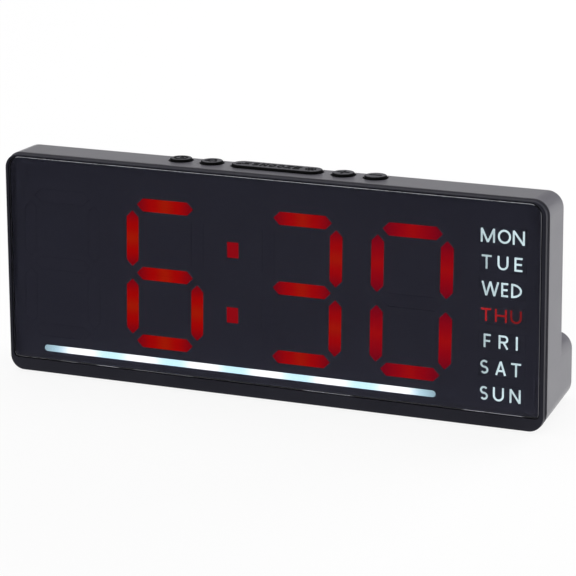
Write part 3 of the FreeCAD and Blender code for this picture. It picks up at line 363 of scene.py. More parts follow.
def keyCaps():
    # Satin top like the shell's; the walls and rounded edge, picked by the way they face, are painted near-black as
    # shade.
    material, tree, shader = newMaterial("keyCaps")
    grain = placeGroup(tree, mouldedGrain, {"Rough Low": 0.42, "Rough High": 0.52})
    satin = blendColours(tree, grain["Mottle"], (0.060, 0.059, 0.069), (0.080, 0.078, 0.091))
    normal = newNode(tree, "ShaderNodeNewGeometry").outputs["True Normal"]
    facing = newNode(tree, "ShaderNodeVectorMath", {0: normal, 1: faceUp}, operation="DOT_PRODUCT")
    unshadedTop = remap(tree, facing.outputs["Value"], 0.93, 0.99, 0, 1)
    feed(shader, {
        # Painted shade: every face that doesn't face up gets the near-black colour.
        "Base Color": blendColours(tree, unshadedTop, (0.003, 0.003, 0.004), satin),
        "Roughness": remap(tree, unshadedTop, 0, 1, 0.85, grain["Roughness"]),
        "Specular IOR Level": 0.3,
    })
    addBump(tree, shader, grain["Height"], 0.00002)
    return material


keyPlastic = keyCaps()


def smokedAcrylic():
    # Polished tinted plate; the display shows through it.
    material, tree, shader = newMaterial("smokedAcrylic")
    feed(shader, {"Base Color": (0.5, 0.5, 0.52, 1), "Transmission Weight": 1.0, "IOR": 1.47})
    marks = placeGroup(tree, handlingMarks, {"Smear Scale": 9, "Dust Scale": 700, "Dust Amount": 0.002})
    smeared = multiply(tree, marks["Smear"], 0.008)
    dusty = multiply(tree, marks["Dust"], 0.25)
    feed(shader, {"Roughness": add(tree, smeared, dusty)})
    return material


def groundAcrylic():
    # Sawn and chamfered edge of the plate, with pale chips on its lower edge; its upper and right stretches are
    # painted pale as a highlight.
    material, tree, shader = newMaterial("groundEdge")
    coordinate = objectPlace(tree)
    chips = scaledNoise(tree, coordinate, 420, 4.0, 0.7)
    # This value is real chipping on the lower edge and a painted highlight on the upper and right edges.
    chipsAndGlint = attribute(tree, "chipsAndGlint")
    limit = remap(tree, chipsAndGlint, 0, 1, 0.72, 0.40)
    chipped = remap(tree, subtract(tree, chips, limit), 0, 0.08, 0, 1)
    chipped = multiply(tree, chipped, arithmetic(tree, "GREATER_THAN", chipsAndGlint, 0.65))
    slow = spread(tree, scaledNoise(tree, coordinate, 60, 2.0), 0.55, 1.0)
    # The pale share mixes the chips with the painted highlight; the chip pattern also breaks up the painted highlight
    # on the upper edge.
    pale = arithmetic(tree, "MAXIMUM", multiply(tree, chipsAndGlint, slow), chipped)
    feed(shader, {
        "Base Color": blendColours(tree, pale, (0.010, 0.010, 0.013), (0.66, 0.67, 0.74)),
        "Roughness": remap(tree, chipped, 0, 1, 0.22, 0.6),
    })
    addBump(tree, shader, chips, 0.00008)
    return material


def circuitBoard():
    material, tree, shader = newMaterial("solderMask")
    coordinate = objectPlace(tree)
    tracks = newNode(tree, "ShaderNodeTexBrick", {
        "Vector": coordinate,
        "Scale": 180,
        "Mortar Size": 0.06,
        "Color1": (0.012, 0.09, 0.035, 1),
        "Color2": (0.016, 0.11, 0.045, 1),
        "Mortar": (0.03, 0.2, 0.08, 1),
    })
    rough = spread(tree, scaledNoise(tree, coordinate, 900, 2.0), 0.25, 0.4)
    feed(shader, {"Base Color": tracks.outputs["Color"], "Roughness": rough})
    addBump(tree, shader, tracks.outputs["Fac"], 0.00003)
    return material


def brushedMetal(name, dark, light, roughLow, roughHigh):
    material, tree, shader = newMaterial(name)
    stretch = newNode(tree, "ShaderNodeMapping", {"Vector": objectPlace(tree), "Scale": (1, 1, 12)})
    lines = scaledNoise(tree, stretch.outputs[0], 900, 3.0)
    feed(shader, {
        "Metallic": 1.0,
        "Base Color": blendColours(tree, spread(tree, lines, 0, 1), dark, light),
        "Roughness": spread(tree, lines, roughLow, roughHigh),
    })
    addBump(tree, shader, lines, 0.00001)
    return material


screwSteel = brushedMetal("zincPlate", (0.30, 0.31, 0.33), (0.52, 0.53, 0.55), 0.25, 0.4)
contactSteel = brushedMetal("nickelPlate", (0.55, 0.54, 0.5), (0.72, 0.7, 0.66), 0.2, 0.32)
basketSteel = brushedMetal("pressedBasket", (0.2, 0.2, 0.21), (0.32, 0.32, 0.33), 0.3, 0.45)


def footRubber():
    material, tree, shader = newMaterial("footRubber")
    coordinate = objectPlace(tree)
    bloom = scaledNoise(tree, coordinate, 160, 4.0, 0.6)
    bloom = remap(tree, bloom, 0.35, 0.7, 0, 1)
    feed(shader, {
        "Base Color": blendColours(tree, bloom, (0.012, 0.012, 0.012), (0.035, 0.034, 0.033)),
        "Roughness": 0.85,
        "Specular IOR Level": 0.3,
    })
    addBump(tree, shader, scaledNoise(tree, coordinate, 1800, 2.0), 0.00004)
    return material


def cellSleeve():
    # Plain two-tone sleeves: dark cans with a paler band at the raised end, one cell turned round.
    low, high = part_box("battery_cells")
    material, tree, shader = newMaterial("cellSleeve")
    coordinate = objectPlace(tree)
    split = axes(tree, coordinate)
    turned = arithmetic(tree, "GREATER_THAN", split["Z"], (low[2] + high[2]) / 2)
    way = subtract(tree, 1.0, multiply(tree, turned, 2.0))
    along = multiply(tree, subtract(tree, split["X"], (low[0] + high[0]) / 2), way)
    band = arithmetic(tree, "GREATER_THAN", along, 0.009)
    feed(shader, {
        "Base Color": blendColours(tree, band, (0.02, 0.025, 0.03), (0.42, 0.36, 0.2)),
        "Roughness": spread(tree, scaledNoise(tree, coordinate, 300, 3.0), 0.22, 0.38),
    })
    return material


def ribbonFilm():
    material, tree, shader = newMaterial("ribbonFilm")
    values = {"Vector": objectPlace(tree), "Scale": 300}
    wires = newNode(tree, "ShaderNodeTexWave", values, bands_direction="X").outputs["Fac"]
    pale = blendColours(tree, wires, (0.35, 0.35, 0.36), (0.75, 0.75, 0.74))
    feed(shader, {"Base Color": pale, "Roughness": 0.4})
    addBump(tree, shader, wires, 0.00008)
    return material


smokedLens = smokedAcrylic()
groundEdge = groundAcrylic()
boardGreen = circuitBoard()
rubberBlack = footRubber()
sleeve = cellSleeve()
ribbon = ribbonFilm()

nodeFinishes = {
    "front_frame": framePlastic,
    "display_lens": smokedLens,
    "lens_tape": maskPlastic,
    "light_mask": maskPlastic,
    "hour_tens_segments": unlitPlastic,
    "weekday_windows": filmBlack,
    "display_board": boardGreen,
    "key_board": boardGreen,
    "control_board": boardGreen,
    "digit_leds": emitterPlastic,
    "weekday_leds": emitterPlastic,
    "light_bar_leds": emitterPlastic,
    "rear_housing": shellPlastic,
    "battery_door": shellPlastic,
    "rubber_feet": rubberBlack,
    "housing_screws": screwSteel,
    "tact_switches": switchPlastic,
    "speaker": basketSteel,
    "battery_cells": sleeve,
    "battery_contacts": contactSteel,
    "contact_springs": contactSteel,
    "control_chips": chipPlastic,
    "power_socket": contactSteel,
    "display_ribbon": ribbon,
    "key_ribbon": ribbon,
}
keyNames = ("mode_key", "alarm_key", "plus_key", "minus_key", "snooze_bar")
for keyName in keyNames:
    nodeFinishes[keyName] = keyPlastic
    nodeFinishes[keyName + "_plunger"] = switchPlastic
for nodeName, finish in nodeFinishes.items():
    for materialSlot in frame["nodes"][nodeName].material_slots:
        materialSlot.material = finish
print("finishes on", len(nodeFinishes), "carried-over pieces")


def linkPiece(name, mesh, materials, replaced=(), body="clock"):
    piece = linkObject(name, mesh)
    for material in materials:
        mesh.materials.append(material)
    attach(piece, body)
    if replaced:
        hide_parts(*replaced)


def finishedMesh(work, name):
    bmesh.ops.recalc_face_normals(work, faces=work.faces)
    mesh = bpy.data.meshes.new(name)
    work.to_mesh(mesh)
    work.free()
    return mesh


def faceMesh(work, name):
    # Turns a bmesh drawn in face millimetres into a mesh that stands in its place.
    mesh = finishedMesh(work, name)
    mesh.transform(faceMatrix)
    return mesh


def clusters(node, reach):
    # Boxes, in face millimetres, of the separate pieces that one node holds.
    boxes = []
    for point in (toFace @ p for p in nodePoints(node)):
        for low, high in boxes:
            if all(low[i] - reach[i] < point[i] < high[i] + reach[i] for i in range(3)):
                for i in range(3):
                    low[i], high[i] = min(low[i], point[i]), max(high[i], point[i])
                break
        else:
            boxes.append((list(point), list(point)))
    return boxes


def addRings(work, levels):
    # Skins rings of equal count, each given as (points, depth), and closes both ends.
    # Returns the faces band by band.
    rings = [[work.verts.new((x, depth, z)) for x, z in points] for points, depth in levels]
    bands = []
    for near, far in zip(rings, rings[1:]):
        quads = zip(near, near[1:] + near[:1], far[1:] + far[:1], far)
        bands.append([work.faces.new(quad) for quad in quads])
    bands[0].append(work.faces.new(rings[0]))
    bands[-1].append(work.faces.new(list(reversed(rings[-1]))))
    return bands


def arcPoints(centre, radii, start, end, steps):
    points = []
    for step in range(steps + 1):
        angle = math.radians(start + (end - start) * step / steps)
        points.append((centre[0] + radii[0] * math.cos(angle), centre[1] + radii[1] * math.sin(angle)))
    return points


def middleOf(outline):
    return sum((Vector(corner) for corner in outline), Vector((0, 0))) / len(outline)


def addPlate(work, outline, bevel=0.15):
    # A diffuser from an outline of (x, height) corners; its front edge may be eased.
    front, back = digits["front"], digits["front"] + digits["thickness"]
    middle = middleOf(outline)
    levels = []
    for depth, inset in ((front, bevel), (front + bevel, 0), (back, 0)) if bevel else ((front, 0), (back, 0)):
        ways = [Vector(corner) - middle for corner in outline]
        levels.append(([middle + way * (1 - inset / max(way.length, 0.001)) for way in ways], depth))
    addRings(work, levels)


digits = {
    "centre": 51.4,  # height of the middle segments
    "slant": math.tan(math.radians(1.0)),
    "columnReach": 16.07,
    "rowReach": 31.45,
    "width": 5.84,
    "rowLength": 27.64,
    "columnLength": 25.54,
    "tip": 0.45,  # half width of a segment's blunt tip
    "front": 2.3,
    "thickness": 1.5,
    "places": {"hour_ones": -50.3, "minute_tens": 16.5, "minute_ones": 68.1},
    "lit": {"hour_ones": "acdefg", "minute_tens": "abcdg", "minute_ones": "abcdef"},
    "tone": {"hour_ones": 1.0, "minute_tens": 0.75, "minute_ones": 0.2},  # 1 is bright, 0 deep red
    "strength": 0.95,
    "hot": (0.76, 0.016, 0.0),  # bright red over the emitter, then towards the tips
    "middle": (0.75, 0.0, 0.0),
    "middleStop": 0.42,
    "tips": (0.42, 0.0, 0.010),
    "deepMiddle": (0.70, 0.0, 0.008),
    "deepTips": (0.32, 0.0, 0.020),
}
segmentPlaces = {
    "a": ("row", 0, 1.0), "g": ("row", 0, 0.0), "d": ("row", 0, -1.0),
    "f": ("column", -1, 0.5), "b": ("column", 1, 0.5), "e": ("column", -1, -0.5), "c": ("column", 1, -0.5),
}


def lightUp(tree, shader, colour, level, strength):
    scaled = newNode(tree, "ShaderNodeVectorMath", {0: colour, "Scale": level}, operation="SCALE")
    feed(shader, {"Emission Color": scaled.outputs[0], "Emission Strength": strength})


def redGlow():
    # Hot spot over the light emitter, deeper red towards the tips, faint moulded ribs.
    material, tree, shader = newMaterial("redGlow")
    along, across, level, tone = [attribute(tree, name) for name in ("along", "across", "level", "tone")]
    distance = arithmetic(tree, "ABSOLUTE", along)
    ramp = newNode(tree, "ShaderNodeValToRGB", {"Fac": distance})
    ramp.color_ramp.interpolation = "EASE"
    stops = ramp.color_ramp.elements
    stops.new(digits["middleStop"])
    for stop, colour in zip(stops, (digits["hot"], digits["middle"], digits["tips"])):
        stop.color = (*colour, 1)
    crimson = blendColours(tree, distance, digits["deepMiddle"], digits["deepTips"])
    red = blendColours(tree, tone, crimson, ramp.outputs["Color"])
    ribs = arithmetic(tree, "SINE", multiply(tree, across, 14.0))
    ripple = remap(tree, ribs, -1, 1, 0.93, 1.0)
    grain = scaledNoise(tree, objectPlace(tree), 500, 3.0)
    speckle = multiply(tree, spread(tree, grain, 0.95, 1.03), ripple)
    lightUp(tree, shader, red, multiply(tree, speckle, level), digits["strength"])
    feed(shader, {
        "Base Color": blendColours(tree, level, (0.178, 0.178, 0.249), (0.03, 0.001, 0.001)),
        "Roughness": 0.6,
        "Specular IOR Level": 0.0,
    })
    return material


litRed = redGlow()


def setPointValue(mesh, name, values):
    mesh.attributes.new(name, "FLOAT", "POINT").data.foreach_set("value", values)


def segmentOutline(direction, length, width, tip):
    half, point = length / 2, width / 2
    corners = [
        (-half, -tip), (-half + point - tip, -point), (half - point + tip, -point),
        (half, -tip), (half, tip), (half - point + tip, point), (-half + point - tip, point), (-half, tip),
    ]
    return corners if direction == "row" else [(-b, a) for a, b in corners]


def makeDigit(name, centreX, lit, tone):
    work = bmesh.new()
    values = {"along": [], "across": [], "level": [], "tone": []}
    for letter, (direction, side, rise) in segmentPlaces.items():
        length = digits["rowLength"] if direction == "row" else digits["columnLength"]
        outline = []
        for a, b in segmentOutline(direction, length, digits["width"], digits["tip"]):
            z = rise * digits["rowReach"] + b
            outline.append((centreX + side * digits["columnReach"] + a + z * digits["slant"], digits["centre"] + z))
        before = len(work.verts)
        addPlate(work, outline)
        middle = middleOf(outline)
        for vertex in list(work.verts)[before:]:
            x, z = vertex.co.x - middle.x, vertex.co.z - middle.y
            along, across = (x, z) if direction == "row" else (z, x)
            values["along"].append(along / (length / 2))
            values["across"].append(across / (digits["width"] / 2))
            values["level"].append(1.0 if letter in lit else 0.0)
            values["tone"].append(tone)
    bmesh.ops.triangulate(work, faces=[f for f in work.faces if len(f.verts) > 4])
    mesh = faceMesh(work, name)
    for label, table in values.items():
        setPointValue(mesh, label, table)
    return mesh


for digitName, centreX in digits["places"].items():
    digitMesh = makeDigit(digitName + "Digit", centreX, digits["lit"][digitName], digits["tone"][digitName])
    linkPiece(digitName + "Digit", digitMesh, [litRed], [digitName + "_segments"])


colon = {"x": -16.9, "width": 5.54, "height": 7.04, "reach": 14.9, "tone": 0.4}


def makeColon():
    work = bmesh.new()
    halfX, halfZ = colon["width"] / 2, colon["height"] / 2
    for rise in (-colon["reach"], colon["reach"]):
        x = colon["x"] + rise * digits["slant"]
        z = digits["centre"] + rise
        outline = [(x - halfX, z - halfZ), (x + halfX, z - halfZ), (x + halfX, z + halfZ), (x - halfX, z + halfZ)]
        addPlate(work, outline)
    mesh = faceMesh(work, "colonDots")
    for label, value in (("along", 0.45), ("across", 0.0), ("level", 0.95), ("tone", colon["tone"])):
        setPointValue(mesh, label, [value] * len(mesh.vertices))
    return mesh


linkPiece("colonDots", makeColon(), [litRed], ["colon_dots"])
print("digits lit")


bar = {
    "x": -16.3,
    "z": 11.3,
    "length": 191.84,
    "height": 2.94,
    "pitch": 31.0,
    "firstSpot": -93.8,
    "strength": 2.6,
    "endsDim": (0.082, 0.0955),  # metres from its middle where both ends dim
    "dimmest": 0.42,
    "arcSteps": 12,
}


def paleGlowBar():
    # White over each emitter, pale blue between them, dimmer at both ends.
    material, tree, shader = newMaterial("barGlow")
    x = axes(tree, objectPlace(tree))["X"]
    turn = multiply(tree, subtract(tree, x, bar["firstSpot"] * mm), 2 * math.pi / (bar["pitch"] * mm))
    spot = remap(tree, arithmetic(tree, "COSINE", turn), -0.95, 0.75, 0, 1, "SMOOTHSTEP")
    offset = arithmetic(tree, "ABSOLUTE", subtract(tree, x, bar["x"] * mm))
    ends = remap(tree, offset, *bar["endsDim"], 1.0, bar["dimmest"])
    colour = blendColours(tree, spot, (0.50, 0.76, 0.86), (0.93, 0.95, 0.95))
    lightUp(tree, shader, colour, ends, bar["strength"])
    feed(shader, {"Base Color": (0.25, 0.26, 0.27, 1), "Roughness": 0.4})
    return material


def makeBar():
    work = bmesh.new()
    radius = bar["height"] / 2
    reach = bar["length"] / 2 - radius
    outline = []
    for side in (1, -1):
        end = (bar["x"] + side * reach, bar["z"])
        outline += arcPoints(end, (radius, radius), side * 90, side * 90 - 180, bar["arcSteps"])
    addPlate(work, outline, 0)
    return faceMesh(work, "lightBar")


linkPiece("lightBar", makeBar(), [paleGlowBar()], ["light_bar"])
print("light bar lit")


def glyphStrokes(letter, left, right, low, high, stroke):
    # Centre lines of a letter's strokes that fill a box exactly. A closed line repeats its first point.
    half = stroke / 2
    l, r, b, t = left + half, right - half, low + half, high - half
    midX, midY = (l + r) / 2, (b + t) / 2
    leftStem, rightStem, upperArm = [(l, low), (l, high)], [(r, low), (r, high)], [(l, t), (right, t)]
    lean = half * 1.1  # how far a slanted stroke's centre line stands in from the box
    quarter = (r - l) / 4
    feet = (l + quarter, low), (r - quarter, low)
    valley = (midX, low + 0.15)
    crossbar, inward = low + 0.32 * (high - low), 0.22 * (r - l)
    bowlU, bowlR = (r - l) / 2, (t - b) * 0.26  # radii
    turnR, footR = r - 0.15 - bowlR, t - 2 * bowlR
    curveR = arcPoints((turnR, t - bowlR), (bowlR, bowlR), 80, -80, 10)
    hooks = (r - l) / 2, (t - b) / 4
    strokes = {
        "A": [[(left + lean, low), (midX, high)], [(right - lean, low), (midX, high)],
              [(l + inward, crossbar), (r - inward, crossbar)]],
        "D": [leftStem, arcPoints((l, midY), ((r - l) * 0.98, (t - b) / 2), 90, -90, 16)],
        "E": [leftStem, upperArm, [(l, midY), (right - 0.25, midY)], [(l, b), (right, b)]],
        "F": [leftStem, upperArm, [(l, midY - 0.1), (right - 0.25, midY - 0.1)]],
        "H": [leftStem, rightStem, [(l, midY), (r, midY)]],
        "I": [[(midX, low), (midX, high)]],
        "M": [leftStem, rightStem, [(l, high - 0.1), valley], [(r, high - 0.1), valley]],
        "N": [leftStem, rightStem, [(l, high - 0.1), (r, low + 0.1)]],
        "O": [arcPoints((midX, midY), ((r - l) / 2, (t - b) / 2), 0, 360, 28)],
        "R": [leftStem, [(l, t), (turnR, t), *curveR, (turnR, footR), (l, footR)], [(turnR - 0.4, footR), (r, low)]],
        "S": [arcPoints((midX, t - hooks[1]), hooks, 35, 270, 14)
              + arcPoints((midX, b + hooks[1]), hooks, 90, -145, 14)[1:]],
        "T": [[(left, t), (right, t)], [(midX, low), (midX, t)]],
        "U": [[(l, high)] + arcPoints((midX, b + bowlU), (bowlU, bowlU), 180, 360, 12) + [(r, high)]],
        "W": [[(left + lean, high), feet[0]], [(midX, high), feet[0]],
              [(midX, high), feet[1]], [(right - lean, high), feet[1]]],
        "Z": [[(left, t), (r, t), (l, b), (right, b)]],
    }
    return strokes[letter]


def addStroke(work, points, width, front, back, lay):
    # A flat ribbon with mitred corners along a line, as a closed solid between two levels.
    closed = (Vector(points[0]) - Vector(points[-1])).length < 0.001
    line = [Vector(p) for p in (points[:-1] if closed else points)]
    count = len(line)
    sides = []
    for i, point in enumerate(line):
        ways = []
        if closed or i > 0:
            ways.append((point - line[i - 1]).normalized())
        if closed or i < count - 1:
            ways.append((line[(i + 1) % count] - point).normalized())
        way = sum(ways, Vector((0, 0))).normalized()
        normal = Vector((-way.y, way.x))
        spread = width / 2 / max(0.4, normal.dot(Vector((-ways[0].y, ways[0].x))))
        sides.append((point + normal * spread, point - normal * spread))
    rows = [[work.verts.new(lay(p.x, p.y, level)) for p in pair for level in (front, back)] for pair in sides]
    for a, b in zip(rows, rows[1:] + rows[:1] if closed else rows[1:]):
        for i, j in ((0, 2), (2, 3), (3, 1), (1, 0)):
            work.faces.new((a[i], a[j], b[j], b[i]))
    if not closed:
        for row in (rows[0], rows[-1]):
            work.faces.new((row[0], row[2], row[3], row[1]))


def onFace(x, z, depth):
    return (x, depth, z)


def onTop(x, depth, height):
    return (x, depth, height)


lettering = {
    "stroke": 0.86,
    "front": 2.17,
    "back": 2.23,
    "strength": 1.75,
    # each day: lower and upper edge, then its letters with left and right edge and brightness
    "days": {
        "Mon": (81.3, 87.4, (("M", 99.8, 106.2, 0.82), ("O", 107.5, 113.4, 1.0), ("N", 114.2, 119.6, 1.0))),
        "Tue": (69.7, 75.8, (("T", 100.3, 104.8, 0.62), ("U", 107.5, 112.4, 1.0), ("E", 115.1, 118.7, 1.0))),
        "Wed": (58.0, 64.2, (("W", 100.3, 108.4, 0.85), ("E", 109.3, 112.4, 1.0), ("D", 113.8, 118.7, 0.95))),
        "Thu": (46.7, 52.4, (("T", 100.3, 104.8, 1.0), ("H", 106.6, 112.0, 0.75), ("U", 113.5, 118.7, 0.5))),
        "Fri": (35.0, 41.0, (("F", 101.6, 104.8, 0.72), ("R", 108.4, 112.9, 1.0), ("I", 116.0, 117.3, 1.0))),
        "Sat": (23.2, 29.3, (("S", 100.2, 103.9, 0.72), ("A", 107.0, 112.0, 1.0), ("T", 114.2, 118.7, 0.9))),
        "Sun": (11.5, 17.6, (("S", 100.2, 103.8, 0.78), ("U", 106.1, 111.1, 1.0), ("N", 113.7, 118.7, 0.85))),
    },
    "today": "Thu",
}


def letterGlow(name, colour, strength):
    material, tree, shader = newMaterial(name)
    level = attribute(tree, "level")
    cloud = scaledNoise(tree, objectPlace(tree), 260, 2.0)
    lightUp(tree, shader, colour, multiply(tree, level, spread(tree, cloud, 0.82, 1.1)), strength)
    feed(shader, {"Base Color": (*[c * 0.1 for c in colour], 1), "Specular IOR Level": 0.1})
    return material


paleLetters = letterGlow("paleLetters", (0.78, 0.98, 1.0), lettering["strength"])
redLetters = letterGlow("redLetters", (0.78, 0.03, 0.035), lettering["strength"] * 0.62)


def makeDays():
    for day, (low, high, letters) in lettering["days"].items():
        work = bmesh.new()
        levels = []
        for letter, left, right, level in letters:
            before = len(work.verts)
            for line in glyphStrokes(letter, left, right, low, high, lettering["stroke"]):
                addStroke(work, line, lettering["stroke"], lettering["front"], lettering["back"], onFace)
            levels += [level] * (len(work.verts) - before)
        mesh = faceMesh(work, "weekday" + day)
        setPointValue(mesh, "level", levels)
        finish = redLetters if day == lettering["today"] else paleLetters
        linkPiece("weekday" + day, mesh, [finish])


makeDays()
print("weekdays lettered")


keySymbols = {
    "rowDepth": 14.8,
    "raised": 0.16,
    "sunk": 0.05,
    "stroke": 0.85,
    "size": 2.8,  # half height of a symbol on a round key
    "wordLeft": -11.6,
    "wordRight": 12.2,
    "wordHalfHeight": 2.3,
    "signPlace": 16.2,  # middle of the signs at both ends of the snooze bar
}


def symbolLines(name, x, depth):
    size = keySymbols["size"]
    if name == "plus_key":
        return [[(x - size, depth), (x + size, depth)], [(x, depth - size), (x, depth + size)]]
    if name == "minus_key":
        return [[(x - size, depth), (x + size, depth)]]
    if name == "mode_key":  # a dial with two hands
        ring = arcPoints((x, depth), (size, size), 0, 360, 28)
        return [ring, [(x, depth + size * 0.62), (x, depth), (x + size * 0.5, depth)]]
    if name == "alarm_key":  # a bell on its rim, with its clapper
        bell = arcPoints((x, depth + 0.1), (size * 0.66, size * 0.8), 0, 180, 14)
        foot = depth - size * 0.45
        return [
            [(x + size * 0.66, foot)] + bell + [(x - size * 0.66, foot)],
            [(x - size, foot), (x + size, foot)],
            [(x - 0.45, foot - 0.75), (x + 0.45, foot - 0.75)],
        ]
    lines = []
    word = "SNOOZE"
    pitch = (keySymbols["wordRight"] - keySymbols["wordLeft"]) / len(word)
    low, high = depth - keySymbols["wordHalfHeight"], depth + keySymbols["wordHalfHeight"]
    for index, letter in enumerate(word):
        left = x + keySymbols["wordLeft"] + index * pitch
        lines += glyphStrokes(letter, left, left + pitch - 0.9, low, high, keySymbols["stroke"])
    for index, half in enumerate((1.0, 1.5)):  # the sleep sign before the word
        left = x - keySymbols["signPlace"] - 2.2 + index * 2.6
        base = low + index * 0.9
        lines += glyphStrokes("Z", left, left + half * 1.7, base, base + half * 2, keySymbols["stroke"])
    sun = (x + keySymbols["signPlace"], depth)  # the lamp sign after it
    lines.append(arcPoints(sun, (0.9, 0.9), 0, 360, 16))
    for ray in range(8):
        way = Vector((math.cos(ray * math.pi / 4), math.sin(ray * math.pi / 4)))
        lines.append([Vector(sun) + way * 1.7, Vector(sun) + way * 2.5])
    return lines


symbolPlastic = mouldedPlastic("symbolPlastic", (0.006, 0.006, 0.007), (0.010, 0.010, 0.012), 0.7, 0.8, 0.00001, 0.2)


def makeKeySymbols():
    for key in keyNames:
        low, high = faceBox(key)
        centre = (low[0] + high[0]) / 2
        top = high[2]
        work = bmesh.new()
        for line in symbolLines(key, centre, keySymbols["rowDepth"]):
            addStroke(work, line, keySymbols["stroke"], top + keySymbols["raised"], top - keySymbols["sunk"], onTop)
        linkPiece(key + "Symbol", faceMesh(work, key + "Symbol"), [symbolPlastic], body=key + "_press")


makeKeySymbols()
print("key symbols raised")


rim = {
    "bead": 0.14,  # radius of the ground edge
    "sides": 8,
    "inset": 0.13,
    "depth": 0.31,
    "topRadius": 5.2,
    "bottomRadius": 1.9,
    "topSteps": 10,
    "bottomSteps": 8,
    "edgeSteps": 120,  # along the lower edge, which has the chips
    "upper": 0.90,  # how pale the upper edge is painted, as a highlight of light from above
    # the right edge is painted about half as pale, a weaker painted highlight; the rest keeps the plain dark edge
    "right": 0.45,
    "rest": 0.03,
    "chips": (  # worn stretches of the lower edge
        (-125, -121, 0.35), (-119, -116, 0.45), (-113, -111, 0.35), (-103, -96, 0.45), (-85, -75, 0.9),
        (-65, -37, 0.5), (18, 40, 0.7), (92, 121, 1.0),
    ),
}


def startTree(name, inputs, result):
    tree = bpy.data.node_groups.new(name, "GeometryNodeTree")
    for label, kind in inputs.items():
        tree.interface.new_socket(name=label, in_out="INPUT", socket_type="NodeSocket" + kind)
    tree.interface.new_socket(name=result, in_out="OUTPUT", socket_type="NodeSocketGeometry")
    return tree, newNode(tree, "NodeGroupInput").outputs


def endTree(tree, geometry, finish):
    # Every tree ends in plain geometry with its finish on it.
    plain = newNode(tree, "GeometryNodeRealizeInstances", {0: geometry}).outputs[0]
    painted = newNode(tree, "GeometryNodeSetMaterial", {"Geometry": plain, "Material": finish}).outputs[0]
    newNode(tree, "NodeGroupOutput", {0: painted})
    return tree


def sweepRound(tree, line, radius, steps, capped):
    ring = newNode(tree, "GeometryNodeCurvePrimitiveCircle", {"Resolution": steps, "Radius": radius}).outputs[0]
    values = {"Curve": line, "Profile Curve": ring, "Fill Caps": capped}
    return newNode(tree, "GeometryNodeCurveToMesh", values).outputs[0]


def rimTree():
    tree, entry = startTree("rimSweep", {"Path": "Geometry", "Bead Radius": "Float", "Finish": "Material"}, "Rim")
    line = newNode(tree, "GeometryNodeMeshToCurve", {"Mesh": entry["Path"]}).outputs[0]
    return endTree(tree, sweepRound(tree, line, entry["Bead Radius"], rim["sides"], False), entry["Finish"])


def applyNodes(name, baseMesh, tree, values):
    # Runs a geometry tree on a mesh drawn in face millimetres; the plain result stands in its place.
    carrier = linkObject(name + "Carrier", baseMesh)
    modifier = carrier.modifiers.new(name, "NODES")
    modifier.node_group = tree
    for item in tree.interface.items_tree:
        if item.item_type == "SOCKET" and item.in_out == "INPUT" and item.name in values:
            modifier[item.identifier] = values[item.name]
    graph = bpy.context.evaluated_depsgraph_get()
    mesh = bpy.data.meshes.new_from_object(carrier.evaluated_get(graph), depsgraph=graph)
    mesh.name = name
    carrier.modifiers.remove(modifier)
    bpy.data.objects.remove(carrier)
    mesh.transform(faceMatrix)
    return mesh


def lensOutline(inset):
    low, high = faceBox("display_lens")
    left, right, bottom, top = low[0] + inset, high[0] - inset, low[2] + inset, high[2] - inset
    big, small = max(rim["topRadius"] - inset, 0.4), max(rim["bottomRadius"] - inset, 0.4)
    points = arcPoints((right - big, top - big), (big, big), 0, 90, rim["topSteps"])
    points += arcPoints((left + big, top - big), (big, big), 90, 180, rim["topSteps"])
    points += arcPoints((left + small, bottom + small), (small, small), 180, 270, rim["bottomSteps"])
    start, end, steps = left + small, right - small, rim["edgeSteps"]
    points += [(start + (end - start) * i / steps, bottom) for i in range(1, steps)]
    return points + arcPoints((right - small, bottom + small), (small, small), 270, 360, rim["bottomSteps"])


def makeRim():
    points = lensOutline(rim["inset"])
    path = bpy.data.meshes.new("rimPath")
    count = len(points)
    path.from_pydata([(x, rim["depth"], z) for x, z in points], [(i, (i + 1) % count) for i in range(count)], [])
    bottom, top = min(z for x, z in points), max(z for x, z in points)
    side = max(x for x, z in points)
    # Painted highlight on the upper and right edges; real chips on stretches of the lower edge.
    chipsAndGlint = []
    for x, z in points:
        chipAndGlint = rim["upper"] if top - z < 0.5 else rim["right"] if side - x < 0.5 else rim["rest"]
        if z - bottom < 0.01:
            for start, end, amount in rim["chips"]:
                if start <= x <= end:
                    chipAndGlint = amount
        chipsAndGlint.append(chipAndGlint)
    setPointValue(path, "chipsAndGlint", chipsAndGlint)
    mesh = applyNodes("lensRim", path, rimTree(), {"Bead Radius": rim["bead"], "Finish": groundEdge})
    mesh.shade_smooth()
    linkPiece("lensRim", mesh, [])


makeRim()
print("lens rim ground")

border = {"outer": 0.15, "inner": 3.4, "front": 2.16, "back": 2.19}


def printedBorder():
    # Painted light: paler towards the plate's edge, to make up for the shade where the frame keeps light away.
    material, tree, shader = newMaterial("printedBorder")
    mottle = multiply(tree, placeGroup(tree, mouldedGrain)["Mottle"], 0.04)
    paintedLightTone = add(tree, attribute(tree, "rim"), mottle)
    feed(shader, {
        "Base Color": blendColours(tree, paintedLightTone, (0.177, 0.178, 0.249), (0.24, 0.24, 0.34)),
        "Roughness": 0.7,
        "Specular IOR Level": 0.1,
    })
    return material


